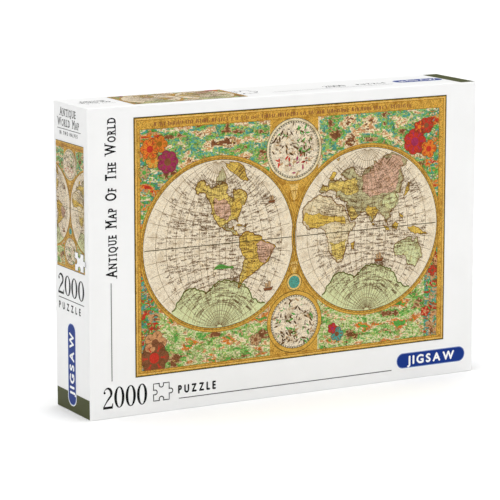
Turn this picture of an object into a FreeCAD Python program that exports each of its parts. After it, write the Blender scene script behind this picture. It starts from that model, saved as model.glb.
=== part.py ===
import FreeCAD, Part
import math
import os
import Sketcher

# A boxed jigsaw puzzle: a rigid set-up box of wrapped greyboard, standing on its long edge, with a
# lid that telescopes over a base tray.  Inside are a vented polythene bag of die-cut pieces and a
# folded leaflet.
#
# Frame, in millimetres: X runs along the box from left to right, -Y is the side of the lid's printed
# face, +Z is up.  The origin is on the surface that the box stands on, under the middle of the box.

# Driving dimensions: name, value in millimetres, what it is
SIZES = (
    ("box_width", 418.0, "closed box, left to right"),
    ("box_height", 288.0, "closed box, standing height"),
    ("box_depth", 72.0, "closed box, front to back"),
    ("board", 1.6, "greyboard thickness"),
    ("board_radius", 0.8, "rounding of the board's outer edges"),
    ("paper", 0.2, "printed wrap paper with its glue"),
    ("turn_in", 15.0, "wrap turned over the rim and down inside"),
    ("stay", 0.15, "corner stay tape thickness"),
    ("stay_leg", 18.0, "stay tape on each side of a corner"),
    ("stay_end_gap", 1.0, "stay tape short of the board's edges"),
    ("fit_gap", 0.6, "air between the lid's mouth and the base"),
    ("base_reveal", 1.0, "base showing behind the lid's rim"),
    ("rim_gap", 0.4, "base rim short of the lid's panel"),
    ("film", 0.3, "polythene film of the bag"),
    ("bag_side_gap", 18.3, "bag to the tray's side walls"),
    ("bag_floor_gap", 0.5, "bag to the tray's lower wall"),
    ("bag_back_gap", 2.2, "bag to the base panel"),
    ("bag_front_gap", 8.2, "bag to the lid panel"),
    ("bag_top_gap", 93.0, "bag to the tray's upper wall"),
    ("bag_slope", 62.0, "height over which the bag thins to its seal"),
    ("bag_seal", 6.0, "thickness of the folded seal at the bag's top"),
    ("bag_radius", 12.0, "rounding of the full bag"),
    ("seal_radius", 1.5, "rounding at the seal"),
    ("vent_radius", 3.0, "punched air hole"),
    ("vent_drop", 24.0, "air hole below the bag's top"),
    ("vent_spacing", 180.0, "between the two air holes"),
    ("pile_gap", 0.3, "pieces to the film, and layer to layer"),
    ("pile_drop", 36.0, "heap of pieces below the bag's top"),
    ("piece_length", 19.5, "die-cut piece, long side"),
    ("piece_width", 16.7, "die-cut piece, short side"),
    ("piece_board", 1.9, "die-cut piece thickness"),
    ("knob_radius", 2.5, "radius of a knob"),
    ("knob_offset", 1.7, "knob's centre beyond the piece's side"),
    ("knob_play", 0.05, "socket's radius over the knob's"),
    ("piece_gap", 0.6, "between neighbouring pieces of the layer"),
    ("leaflet_width", 210.0, "folded leaflet, fold to edge"),
    ("leaflet_height", 148.0, "folded leaflet"),
    ("leaflet_paper", 0.15, "leaflet paper thickness"),
    ("leaflet_fold_gap", 0.3, "air between the leaflet's leaves"),
    ("leaflet_fold_radius", 0.25, "rounding outside the leaflet's fold"),
    ("leaflet_front_gap", 3.2, "leaflet to the lid panel"),
    ("leaflet_floor_gap", 0.5, "leaflet to the tray's lower wall"),
)
SHEET = "Sizes"

# Corners of a tray seen from the front: number, side along X, side along Z
CORNERS = ((1, -1, -1), (2, 1, -1), (3, 1, 1), (4, -1, 1))

# Turns a sketch so that it lies across the box: its own x runs along +Y, its y along +Z
ACROSS_BOX = FreeCAD.Rotation(FreeCAD.Vector(1, 1, 1), 120)

# A point of a sketch's geometry: its start, its end, and the sketch's own origin and y axis
START, END = 1, 2
ORIGIN = (-1, 1)
Y_AXIS = -2

# Two stations closer than this are one
SAME = 1e-6


def size(name):
    """The expression that reads one driving dimension."""
    return f"{SHEET}.{name}"


def less(sides, name):
    """A (width, height) pair of expressions, less a driving dimension all round."""
    return tuple(f"({side} - 2 * {size(name)})" for side in sides)


# The nest of outlines, from the outside of the lid inwards
LID_OUTSIDE = (size("box_width"), size("box_height"))
LID_BOARD = less(LID_OUTSIDE, "paper")
LID_CAVITY = less(LID_BOARD, "board")
LID_MOUTH = less(LID_CAVITY, "paper")
BASE_OUTSIDE = less(LID_MOUTH, "fit_gap")
BASE_BOARD = less(BASE_OUTSIDE, "paper")
BASE_CAVITY = less(BASE_BOARD, "board")

# Stations along Y
FRONT = f"(-{size('box_depth')} / 2)"
BACK = f"({size('box_depth')} / 2)"
LID_PANEL_INSIDE = f"({FRONT} + {size('paper')} + {size('board')})"
LID_RIM = f"({BACK} - {size('base_reveal')})"
BASE_PANEL_INSIDE = f"({BACK} - {size('paper')} - {size('board')})"
BASE_RIM = f"({LID_PANEL_INSIDE} + {size('rim_gap')})"
BAG_FRONT = f"({LID_PANEL_INSIDE} + {size('bag_front_gap')})"
BAG_BACK = f"({BASE_PANEL_INSIDE} - {size('bag_back_gap')})"
LAYER_FRONT = f"({BAG_FRONT} + {size('film')} + {size('pile_gap')})"
PILE_FRONT = f"({LAYER_FRONT} + {size('piece_board')} + {size('pile_gap')})"
LEAFLET_FRONT = f"({LID_PANEL_INSIDE} + {size('leaflet_front_gap')})"

# Stations along Z
MIDDLE = f"({size('box_height')} / 2)"
TRAY_FLOOR = f"({MIDDLE} - {BASE_CAVITY[1]} / 2)"
TRAY_CEILING = f"({MIDDLE} + {BASE_CAVITY[1]} / 2)"
BAG_BOTTOM = f"({TRAY_FLOOR} + {size('bag_floor_gap')})"
BAG_TOP = f"({TRAY_CEILING} - {size('bag_top_gap')})"
BAG_SHOULDER = f"({BAG_TOP} - {size('bag_slope')})"
PILE_TOP = f"({BAG_TOP} - {size('pile_drop')})"
LEAFLET_BOTTOM = f"({TRAY_FLOOR} + {size('leaflet_floor_gap')})"

# The bag along X
BAG_WIDTH = f"({BASE_CAVITY[0]} - 2 * {size('bag_side_gap')})"
PILE_INSET = f"({size('film')} + {size('pile_gap')})"


class Model:
    """The document, its sheet of sizes, and the sub-parts made so far."""

    def __init__(self):
        self.doc = FreeCAD.newDocument("boxed_jigsaw_puzzle")
        self.sheet = self.doc.addObject("Spreadsheet::Sheet", SHEET)
        for row, (name, number, meaning) in enumerate(SIZES, start=1):
            self.sheet.set(f"A{row}", name)
            self.sheet.set(f"B{row}", str(number))
            self.sheet.setAlias(f"B{row}", name)
            self.sheet.set(f"C{row}", meaning)
        self.doc.recompute()
        self.nodes = []

    def add(self, kind, name, **bindings):
        """A document object whose properties are tied to expressions; __ stands for a dot."""
        return bind(self.doc.addObject(kind, name), **bindings)

    def value(self, expression):
        """An expression's present value in millimetres."""
        return float(self.sheet.evalExpression(expression))

    def keep(self, obj, node):
        """Count a finished object as the sub-part of that name."""
        obj.Label = node
        self.nodes.append(obj)
        return obj


def bind(obj, **bindings):
    """Tie an object's properties to expressions; a double underscore stands for a dot."""
    for name, expression in bindings.items():
        obj.setExpression(name.replace("__", "."), expression)
    return obj


# ------------------------------------------------------------- sketches

def measure(sketch, label, expression, kind, *places):
    """A named constraint whose value follows an expression.

    A distance runs from its first place to its second, so a negative one is taken the other way.
    """
    number = float(sketch.evalExpression(expression))
    if number < 0:
        number, expression = -number, f"-({expression})"
        places = places[2:] + places[:2]
    index = sketch.addConstraint(Sketcher.Constraint(kind, *places, number))
    sketch.renameConstraint(index, label)
    sketch.setExpression(f"Constraints.{label}", expression)


def rectangle(model, sketch, sides, middle="0"):
    """Draw a rectangle about the sketch's y axis, with its own middle at a height."""
    width, height = (model.value(side) for side in sides)
    low = model.value(middle) - height / 2
    points = [FreeCAD.Vector(x, y, 0) for x, y in
              ((-width / 2, low), (width / 2, low),
               (width / 2, low + height), (-width / 2, low + height))]
    for start, end in zip(points, points[1:] + points[:1]):
        sketch.addGeometry(Part.LineSegment(start, end), False)
    bottom, right, top, left = range(4)
    for side in range(4):
        sketch.addConstraint(Sketcher.Constraint("Coincident", side, END, (side + 1) % 4, START))
    for side, way in ((top, "Horizontal"), (right, "Vertical"), (left, "Vertical")):
        sketch.addConstraint(Sketcher.Constraint(way, side))
    sketch.addConstraint(Sketcher.Constraint("Symmetric", bottom, START, bottom, END, Y_AXIS))
    measure(sketch, "width", sides[0], "DistanceX", bottom, START, bottom, END)
    measure(sketch, "height", sides[1], "DistanceY", right, START, right, END)
    measure(sketch, "low_edge", f"{middle} - {sides[1]} / 2", "DistanceY", *ORIGIN, bottom, START)


def rounded_polygon(model, sketch, corners):
    """Draw a closed convex outline of straight sides with an arc at each corner.

    Each corner is (label, x, y, radius) in expressions, in anticlockwise order.  The corner itself
    is a construction point that lies on both of its sides.
    """
    points = [FreeCAD.Vector(model.value(x), model.value(y), 0) for _, x, y, _ in corners]
    radii = [model.value(radius) for *_, radius in corners]
    count = len(corners)
    ways = [(points[(i + 1) % count] - points[i]).normalize() for i in range(count)]
    quarter = math.pi / 2
    arcs = []
    for i, (point, radius) in enumerate(zip(points, radii)):
        before, after = ways[i - 1], ways[i]
        inward = (after - before).normalize()
        centre = point + inward * (radius / math.cos(before.getAngle(after) / 2))
        circle = Part.Circle(centre, FreeCAD.Vector(0, 0, 1), radius)
        arcs.append(Part.ArcOfCircle(circle, math.atan2(before.y, before.x) - quarter,
                                     math.atan2(after.y, after.x) - quarter))
    for i, arc in enumerate(arcs):
        following = arcs[(i + 1) % count]
        sketch.addGeometry(arc, False)
        sketch.addGeometry(Part.LineSegment(arc.EndPoint, following.StartPoint), False)
        sketch.addGeometry(Part.Point(points[i]), True)
    per_corner = 3
    for i, (label, x, y, radius) in enumerate(corners):
        arc, side, corner = (per_corner * i + k for k in range(per_corner))
        side_before = (side - per_corner) % (per_corner * count)
        next_arc = (arc + per_corner) % (per_corner * count)
        sketch.addConstraint(Sketcher.Constraint("Tangent", arc, END, side, START))
        sketch.addConstraint(Sketcher.Constraint("Tangent", side, END, next_arc, START))
        for line in (side_before, side):
            sketch.addConstraint(Sketcher.Constraint("PointOnObject", corner, START, line))
        measure(sketch, f"{label}_x", x, "DistanceX", *ORIGIN, corner, START)
        measure(sketch, f"{label}_y", y, "DistanceY", *ORIGIN, corner, START)
        measure(sketch, f"{label}_radius", radius, "Radius", arc)


def body_sketch(body, plane, name, offset):
    """A sketch on one of a body's own origin planes, moved by an expression for each axis given."""
    sketch = body.newObject("Sketcher::SketchObject", name)
    support = next(item for item in body.Origin.OriginFeatures if item.Role == plane)
    sketch.AttachmentSupport = [(support, "")]
    sketch.MapMode = "FlatFace"
    for axis, expression in offset.items():
        sketch.setExpression(f"AttachmentOffset.Base.{axis}", expression)
    return sketch


def edges_where(shape, wanted):
    """Names of a shape's edges whose two ends both pass a test that takes both points."""
    return [f"Edge{number}" for number, edge in enumerate(shape.Edges, start=1)
            if wanted(*(vertex.Point for vertex in edge.Vertexes))]


# --------------------------------------------------------------- blocks

def plain_block(model, name, sides, y_low, y_high):
    """A sharp-edged block about the box's middle line, between two stations along Y."""
    width, height = sides
    return model.add("Part::Box", name, Length=width, Width=f"{y_high} - {y_low}", Height=height,
                     Placement__Base__x=f"-{width} / 2", Placement__Base__y=y_low,
                     Placement__Base__z=f"{MIDDLE} - {height} / 2")


def rounded_block(model, name, sides, y_low, y_high, radius, closed_at=None):
    """A block like plain_block, with its edges along Y rounded, and those round its closed end."""
    body = model.doc.addObject("PartDesign::Body", name)
    sketch = body_sketch(body, "XZ_Plane", f"{name}_outline", {"z": f"-{y_low}"})
    rectangle(model, sketch, sides, MIDDLE)
    pad = body.newObject("PartDesign::Pad", f"{name}_pad")
    pad.Profile = sketch
    pad.Reversed = True
    bind(pad, Length=f"{y_high} - {y_low}")
    model.doc.recompute()
    end = model.value(closed_at) if closed_at else None

    def rounded(first, second):
        along_y = abs(first.x - second.x) < SAME and abs(first.z - second.z) < SAME
        round_end = end is not None and max(abs(first.y - end), abs(second.y - end)) < SAME
        return along_y or round_end

    fillet = body.newObject("PartDesign::Fillet", f"{name}_rounding")
    fillet.Base = (pad, edges_where(pad.Shape, rounded))
    bind(fillet, Radius=radius)
    model.doc.recompute()
    return body


def cut(model, name, base, tool):
    """One solid less another."""
    result = model.doc.addObject("Part::Cut", name)
    result.Base, result.Tool = base, tool
    return result


def common(model, name, base, tool):
    """What two solids share."""
    result = model.doc.addObject("Part::Common", name)
    result.Base, result.Tool = base, tool
    return result


def joined(model, name, *solids):
    """Several solids as one operand."""
    result = model.doc.addObject("Part::MultiFuse", name)
    result.Shapes = list(solids)
    return result


# ---------------------------------------------------------------- trays

class Tray:
    """A set-up tray: folded greyboard, stay tape round each corner, and a wrap over all of it.

    The tray lies open along Y.  closed and rim are its two stations there, and way is +1 when it
    opens towards +Y.
    """

    def __init__(self, model, name, outside, closed, rim, way):
        self.model, self.name = model, name
        self.closed, self.rim, self.way = closed, rim, way
        self.outside = outside
        self.board_sides = less(outside, "paper")
        self.cavity_sides = less(self.board_sides, "board")
        self.mouth_sides = less(self.cavity_sides, "paper")
        self.board_closed = self.from_closed(size("paper"))
        self.board_rim = self.from_rim(size("paper"))

    def from_closed(self, depth):
        """The station this far from the closed end, towards the rim."""
        return f"({self.closed} + {self.way} * ({depth}))"

    def from_rim(self, depth):
        """The station this far down from the rim, towards the closed end."""
        return f"({self.rim} - {self.way} * ({depth}))"

    def between(self, first, second):
        """Two stations in order along Y."""
        return (first, second) if self.way > 0 else (second, first)

    def build(self):
        """Make the tray's six pieces."""
        self.board_block = rounded_block(
            self.model, f"{self.name}_board_block", self.board_sides,
            *self.between(self.board_closed, self.board_rim), size("board_radius"),
            closed_at=self.board_closed)
        stays = self.build_stays()
        self.build_board(stays)
        self.build_wrap()

    def build_stays(self):
        """Four strips of tape, folded round the corners and let into the board's outside."""
        model, name = self.model, self.name
        start = self.from_closed(f"{size('paper')} + {size('board_radius')} + {size('stay_end_gap')}")
        end = self.from_rim(f"{size('paper')} + {size('stay_end_gap')}")
        y_low, y_high = self.between(start, end)
        core = rounded_block(model, f"{name}_stay_core", less(self.board_sides, "stay"),
                             *self.between(self.board_closed, self.board_rim),
                             f"{size('board_radius')} - {size('stay')}")
        width, height = self.board_sides
        leg = size("stay_leg")
        stays = []
        for number, side_x, side_z in CORNERS:
            zone = model.add(
                "Part::Box", f"{name}_stay_zone_{number}",
                Length=leg, Width=f"{y_high} - {y_low}", Height=leg,
                Placement__Base__x=f"{side_x} * ({width} / 2 - {leg} / 2) - {leg} / 2",
                Placement__Base__y=y_low,
                Placement__Base__z=f"{MIDDLE} + {side_z} * ({height} / 2 - {leg} / 2) - {leg} / 2")
            corner = common(model, f"{name}_stay_corner_{number}", self.board_block, zone)
            stay = cut(model, f"{name}_stay_{number}", corner, core)
            stays.append(model.keep(stay, f"{name}_corner_stay_{number}"))
        return stays

    def build_board(self, stays):
        """The greyboard tray, hollow, with its corners let in for the tape."""
        model, name = self.model, self.name
        cavity = plain_block(
            model, f"{name}_cavity", self.cavity_sides,
            *self.between(self.from_closed(f"{size('paper')} + {size('board')}"), self.rim))
        hollow = cut(model, f"{name}_hollow_board", self.board_block, cavity)
        board = cut(model, f"{name}_taped_board", hollow, joined(model, f"{name}_stays", *stays))
        model.keep(board, f"{name}_board")

    def build_wrap(self):
        """The printed paper: outside skin, over the rim, and turned in down the inside."""
        model, name = self.model, self.name
        skin_block = rounded_block(
            model, f"{name}_skin_block", self.outside, *self.between(self.closed, self.rim),
            f"{size('board_radius')} + {size('paper')}", closed_at=self.closed)
        inside = self.between(self.from_rim(size("turn_in")), self.rim)
        skin = cut(model, f"{name}_skin", skin_block, self.board_block)
        turn_in = plain_block(model, f"{name}_turn_in", self.cavity_sides, *inside)
        mouth = plain_block(model, f"{name}_mouth", self.mouth_sides, *inside)
        folded = joined(model, f"{name}_skin_and_turn_in", skin, turn_in)
        model.keep(cut(model, f"{name}_folded_wrap", folded, mouth), f"{name}_wrap")


# ------------------------------------------------------------- contents

def bag_section(model):
    """The full bag's section across the box: flat back, full front, thinning to its seal."""
    sketch = model.doc.addObject("Sketcher::SketchObject", "bag_outline")
    sketch.Placement = FreeCAD.Placement(FreeCAD.Vector(), ACROSS_BOX)
    full, tight = size("bag_radius"), size("seal_radius")
    rounded_polygon(model, sketch, (
        ("floor_front", BAG_FRONT, BAG_BOTTOM, full),
        ("floor_back", BAG_BACK, BAG_BOTTOM, full),
        ("seal_back", BAG_BACK, BAG_TOP, tight),
        ("seal_front", f"{BAG_BACK} - {size('bag_seal')}", BAG_TOP, tight),
        ("shoulder", BAG_FRONT, BAG_SHOULDER, full)))
    section = model.doc.addObject("Part::Face", "bag_section")
    section.Sources = [sketch]
    return section


def pillow(model, name, section, width):
    """A section across the box drawn out along X, half to each side."""
    solid = model.add("Part::Extrusion", name, LengthFwd=width)
    solid.Base = section
    solid.DirMode = "Normal"
    solid.Symmetric = True
    solid.Solid = True
    return solid


def shrunk(model, name, section, inset):
    """A section whose outline is moved inwards by an expression."""
    smaller = model.add("Part::Offset2D", name, Value=f"-{inset}")
    smaller.Source = section
    smaller.Mode = "Skin"
    smaller.Join = "Arc"
    return smaller


def build_bag(model, section):
    """The polythene bag: a closed skin of film with two punched air holes."""
    film = size("film")
    outer = pillow(model, "bag_outer", section, BAG_WIDTH)
    inner = pillow(model, "bag_inner", shrunk(model, "bag_inner_section", section, film),
                   f"{BAG_WIDTH} - 2 * {film}")
    skin = cut(model, "bag_skin", outer, inner)
    vents = []
    for name, side in (("left", -1), ("right", 1)):
        vent = model.add("Part::Cylinder", f"bag_vent_{name}", Radius=size("vent_radius"),
                         Height=size("box_depth"),
                         Placement__Base__x=f"{side} * {size('vent_spacing')} / 2",
                         Placement__Base__y=BACK,
                         Placement__Base__z=f"{BAG_TOP} - {size('vent_drop')}")
        vent.Placement.Rotation = FreeCAD.Rotation(FreeCAD.Vector(1, 0, 0), 90)
        vents.append(vent)
    model.keep(cut(model, "vented_bag", skin, joined(model, "bag_vents", *vents)), "piece_bag")


def build_pile(model, section):
    """The heap of pieces behind the first layer, as one solid of the heap's outer shape."""
    inset = PILE_INSET
    heap = pillow(model, "heap", shrunk(model, "heap_section", section, inset),
                  f"{BAG_WIDTH} - 2 * {inset}")
    zone = model.add("Part::Box", "heap_zone", Length=BAG_WIDTH, Width=f"{BAG_BACK} - {PILE_FRONT}",
                     Height=f"{PILE_TOP} - {BAG_BOTTOM}", Placement__Base__x=f"-{BAG_WIDTH} / 2",
                     Placement__Base__y=PILE_FRONT, Placement__Base__z=BAG_BOTTOM)
    model.keep(common(model, "heap_of_pieces", heap, zone), "puzzle_pile")


# Knobs (+1) and sockets (-1) of the cuts that follow one another: lower, right, upper, left side
PIECE_KNOBS = ((1, -1, 1, -1), (1, 1, -1, -1), (-1, 1, 1, 1), (1, -1, -1, -1), (-1, -1, -1, -1))
# How far each piece that follows is turned as it lies, in degrees
PIECE_TURNS = (8, 97, -14, 171, -83, 22, 260)


def piece_shape(model, knobs):
    """One die-cut piece about the origin, its picture side towards -Y.

    knobs holds +1 for a knob and -1 for a socket, for the lower, right, upper and left side.
    """
    length, width = model.value(size("piece_length")), model.value(size("piece_width"))
    offset, play = model.value(size("knob_offset")), model.value(size("knob_play"))
    corners = [FreeCAD.Vector(x * length / 2, 0, z * width / 2)
               for x, z in ((-1, -1), (1, -1), (1, 1), (-1, 1))]
    edges = []
    for knob, start, end in zip(knobs, corners, corners[1:] + corners[:1]):
        radius = model.value(size("knob_radius")) + (play if knob < 0 else 0)
        half_neck = math.sqrt(radius ** 2 - offset ** 2)
        along = (end - start).normalize()
        outward = along.cross(FreeCAD.Vector(0, -1, 0)).normalize()
        middle = (start + end) / 2
        neck_start, neck_end = middle - along * half_neck, middle + along * half_neck
        tip = middle + outward * knob * (offset + radius)
        edges += [Part.LineSegment(start, neck_start).toShape(),
                  Part.Arc(neck_start, tip, neck_end).toShape(),
                  Part.LineSegment(neck_end, end).toShape()]
    face = Part.Face(Part.Wire(edges))
    return face.extrude(FreeCAD.Vector(0, model.value(size("piece_board")), 0))


def build_first_layer(model):
    """The loose pieces that lie flat against the front film, each a solid of its own."""
    reach = model.value(size("knob_offset")) + model.value(size("knob_radius"))
    longest = max(model.value(size("piece_length")), model.value(size("piece_width")))
    pitch = longest + 2 * reach + model.value(size("piece_gap"))
    wide = model.value(f"{BAG_WIDTH} - 2 * {PILE_INSET}")
    low = model.value(f"{BAG_BOTTOM} + {size('bag_radius')}")
    high = model.value(f"{BAG_SHOULDER} - {size('bag_radius')}")
    columns, rows = int(wide // pitch), int((high - low) // pitch)
    first_x = -pitch * (columns - 1) / 2
    first_z = (low + high) / 2 - pitch * (rows - 1) / 2
    pieces = []
    for row in range(rows):
        for column in range(columns):
            count = row * columns + column
            piece = piece_shape(model, PIECE_KNOBS[count % len(PIECE_KNOBS)])
            turn = FreeCAD.Rotation(FreeCAD.Vector(0, 1, 0), PIECE_TURNS[count % len(PIECE_TURNS)])
            place = FreeCAD.Vector(first_x + column * pitch, model.value(LAYER_FRONT),
                                   first_z + row * pitch)
            piece.Placement = FreeCAD.Placement(place, turn)
            pieces.append(piece)
    layer = model.doc.addObject("Part::Feature", "first_layer")
    layer.Shape = Part.makeCompound(pieces)
    layer.Placement = FreeCAD.Placement()
    model.keep(layer, "puzzle_pieces")


def build_leaflet(model):
    """The printed leaflet: one sheet folded once, standing in front of the bag, open at the right."""
    thickness = f"(2 * {size('leaflet_paper')} + {size('leaflet_fold_gap')})"
    middle = f"({LEAFLET_FRONT} + {thickness} / 2)"
    body = model.doc.addObject("PartDesign::Body", "leaflet_body")
    outline = body_sketch(body, "XY_Plane", "leaflet_outline", {"z": LEAFLET_BOTTOM})
    rectangle(model, outline, (size("leaflet_width"), thickness), middle)
    pad = body.newObject("PartDesign::Pad", "leaflet_pad")
    pad.Profile = outline
    bind(pad, Length=size("leaflet_height"))
    gap_outline = body_sketch(body, "XY_Plane", "leaflet_gap_outline",
                              {"x": size("leaflet_paper"), "z": LEAFLET_BOTTOM})
    rectangle(model, gap_outline, (size("leaflet_width"), size("leaflet_fold_gap")), middle)
    model.doc.recompute()
    solid_volume = pad.Shape.Volume
    gap = body.newObject("PartDesign::Pocket", "leaflet_gap")
    gap.Profile = gap_outline
    gap.Reversed = True
    bind(gap, Length=size("leaflet_height"))
    model.doc.recompute()
    if gap.Shape.Volume >= solid_volume:
        raise ValueError("the gap between the leaflet's leaves wasn't cut")
    fold = -model.value(size("leaflet_width")) / 2
    faces = [model.value(LEAFLET_FRONT), model.value(f"{LEAFLET_FRONT} + {thickness}")]

    def outside_fold(first, second):
        at_fold = max(abs(first.x - fold), abs(second.x - fold)) < SAME
        on_face = any(max(abs(first.y - y), abs(second.y - y)) < SAME for y in faces)
        return at_fold and on_face and abs(first.z - second.z) > SAME

    rounding = body.newObject("PartDesign::Fillet", "leaflet_fold")
    rounding.Base = (gap, edges_where(gap.Shape, outside_fold))
    bind(rounding, Radius=size("leaflet_fold_radius"))
    model.keep(body, "leaflet")


# --------------------------------------------------------------- export

def check(model):
    """Stop if anything in the document failed, or a sub-part isn't sound."""
    for obj in model.doc.Objects:
        if {"Invalid", "Error"} & set(obj.State):
            raise ValueError(f"{obj.Label} failed: {obj.State}")
    for node in model.nodes:
        if node.Shape.isNull() or not node.Shape.isValid() or not node.Shape.Solids:
            raise ValueError(f"{node.Label} has no sound shape")


def export(model):
    """Write each sub-part to parts/ and print its box and volume."""
    os.makedirs("parts", exist_ok=True)
    for node in model.nodes:
        node.Shape.exportStep(f"parts/{node.Label}.step")
        box = node.Shape.BoundBox
        print(f"{node.Label:22s} solids {len(node.Shape.Solids):3d}  "
              f"x {box.XMin:8.2f} {box.XMax:8.2f}  y {box.YMin:7.2f} {box.YMax:7.2f}  "
              f"z {box.ZMin:7.2f} {box.ZMax:7.2f}  volume {node.Shape.Volume / 1000:9.2f} cm3")


def main():
    """Build the box, its contents, and write them out."""
    model = Model()
    Tray(model, "lid", LID_OUTSIDE, FRONT, LID_RIM, 1).build()
    Tray(model, "base", BASE_OUTSIDE, BACK, BASE_RIM, -1).build()
    section = bag_section(model)
    build_bag(model, section)
    build_pile(model, section)
    build_first_layer(model)
    build_leaflet(model)
    model.doc.recompute()
    check(model)
    export(model)


main()
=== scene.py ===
"""A boxed jigsaw puzzle: its printed box, the bag of pieces and the leaflet inside it."""
import logging
import math
import random
from collections import defaultdict
from dataclasses import dataclass, field, replace
from enum import Enum
from typing import Iterable, Sequence

import bmesh
import bpy
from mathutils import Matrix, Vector, noise
from mathutils.geometry import tessellate_polygon


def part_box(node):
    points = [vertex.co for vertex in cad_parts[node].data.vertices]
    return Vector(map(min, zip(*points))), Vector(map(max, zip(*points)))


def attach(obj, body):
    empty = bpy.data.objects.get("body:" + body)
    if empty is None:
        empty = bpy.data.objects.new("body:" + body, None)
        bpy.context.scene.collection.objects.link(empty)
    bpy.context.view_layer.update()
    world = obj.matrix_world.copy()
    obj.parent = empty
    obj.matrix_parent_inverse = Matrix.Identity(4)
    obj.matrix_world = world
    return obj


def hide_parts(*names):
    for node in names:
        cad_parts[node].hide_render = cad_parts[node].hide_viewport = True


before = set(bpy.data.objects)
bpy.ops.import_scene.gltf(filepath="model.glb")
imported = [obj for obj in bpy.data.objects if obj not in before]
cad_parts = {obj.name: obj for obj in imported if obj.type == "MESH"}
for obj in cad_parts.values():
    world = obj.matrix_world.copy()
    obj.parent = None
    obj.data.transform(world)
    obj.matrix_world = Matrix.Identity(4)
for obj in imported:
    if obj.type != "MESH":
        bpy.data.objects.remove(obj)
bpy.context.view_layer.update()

logging.basicConfig(level=logging.INFO, format="%(name)s: %(message)s")
LOG = logging.getLogger("puzzle")

MM = 0.001
Point = tuple[float, float]
Path = list[Point]
Triangle = tuple[Point, Point, Point]

# Patches of one printing level take turns over this many heights, so that neighbours seldom share one
TURNS = 31
BODY_BASE, BODY_LID, BODY_BAG, BODY_LEAFLET = "base", "lid", "bag", "leaflet"


def linear(colour: str) -> tuple[float, float, float, float]:
    """An sRGB hex colour, such as #c89632, as linear red, green, blue and 1."""
    parts = [int(colour[i:i + 2], 16) / 255 for i in (1, 3, 5)]
    return (*[c / 12.92 if c <= 0.04045 else ((c + 0.055) / 1.055) ** 2.4 for c in parts], 1.0)


def span(node: str) -> tuple[Vector, Vector]:
    """A CAD node's lowest and highest corner in millimetres."""
    low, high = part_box(node)
    return Vector(low) / MM, Vector(high) / MM


# ------------------------------------------------------------------ inks

class Ink(Enum):
    """The printing inks, as the colour each leaves on the paper."""

    GOLD = "#e2b24c"
    GOLD_DARK = "#a06c1a"
    GOLD_LIGHT = "#f0cc78"
    OLIVE_LINE = "#4a4420"
    SEA = "#f7ead0"
    SEA_LINE = "#94764a"
    OCHRE_LAND = "#eac75c"
    YELLOW_LAND = "#f0d675"
    PINK_LAND = "#e4bca2"
    GREY_LAND = "#cfca9c"
    GREEN_LAND = "#dfe5b0"
    GREEN_COAST = "#6f8a3c"
    COAST = "#5a3c1c"
    WRITING = "#6b4c28"
    CREAM = "#f3e4bd"
    LEAF = "#5fae4c"
    LEAF_LIGHT = "#9cc46a"
    TEAL = "#56a79a"
    BARK = "#8a5634"
    ROCK = "#c9a577"
    ORANGE = "#e9862c"
    RED = "#cf3a26"
    MAGENTA = "#a8325c"
    EARTH = "#d9a06c"
    BLUE_BADGE = "#0f3488"
    BLUE_EDGE = "#8b9fcc"
    WHITE = "#ffffff"
    BLACK = "#0e0e0d"
    GREY_TEXT = "#5a5a58"
    OLIVE_BAND = "#474b20"
    RULE = "#5f5f5d"


@dataclass(frozen=True)
class Print:
    """How a patch is printed: its ink, its level in the stack, and how much engraving it carries."""

    ink: Ink
    level: int
    engraved: float = 0.0


def arc_path(centre: Point, radius: Point, start: float, end: float, count: int) -> Path:
    """Points along an ellipse's arc, its angles in degrees.

    Args:
        centre: The ellipse's middle.
        radius: Its half width and half height.
        start: The first point's angle.
        end: The last point's angle.
        count: How many steps the arc takes.

    Returns:
        count + 1 points.
    """
    angles = [math.radians(start + (end - start) * i / count) for i in range(count + 1)]
    return [(centre[0] + radius[0] * math.cos(a), centre[1] + radius[1] * math.sin(a)) for a in angles]


def piece_outline(centre: Point, size: Point, knobs: Sequence[int], knob: Point,
                  steps: int = 6) -> Path:
    """A jigsaw piece's outline, anticlockwise from its lower left corner.

    Args:
        centre: The piece's middle.
        size: Its length and width, without the knobs.
        knobs: +1 for a knob, -1 for a socket, 0 for a straight side: lower, right, upper, left.
        knob: The knob's radius and how far its centre stands beyond the side.
        steps: Straight runs in each knob.

    Returns:
        The outline's points, open: its last point isn't its first again.
    """
    radius, offset = knob
    neck = math.sqrt(radius ** 2 - offset ** 2)
    lean = math.asin(offset / radius)
    half = (size[0] / 2, size[1] / 2)
    sides = (((0, -1), half[1], half[0]), ((1, 0), half[0], half[1]),
             ((0, 1), half[1], half[0]), ((-1, 0), half[0], half[1]))
    outline: Path = []
    for way, (normal, distance, reach) in zip(knobs, sides):
        along = (-normal[1], normal[0])
        local: Path = [(-reach, 0.0)]
        if way:
            local.append((-neck, 0.0))
            for i in range(1, steps):
                angle = math.pi + lean - (math.pi + 2 * lean) * i / steps
                local.append((radius * math.cos(angle), way * (offset + radius * math.sin(angle))))
            local.append((neck, 0.0))
        outline += [(centre[0] + along[0] * s + normal[0] * (distance + n),
                     centre[1] + along[1] * s + normal[1] * (distance + n)) for s, n in local]
    return outline


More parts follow.
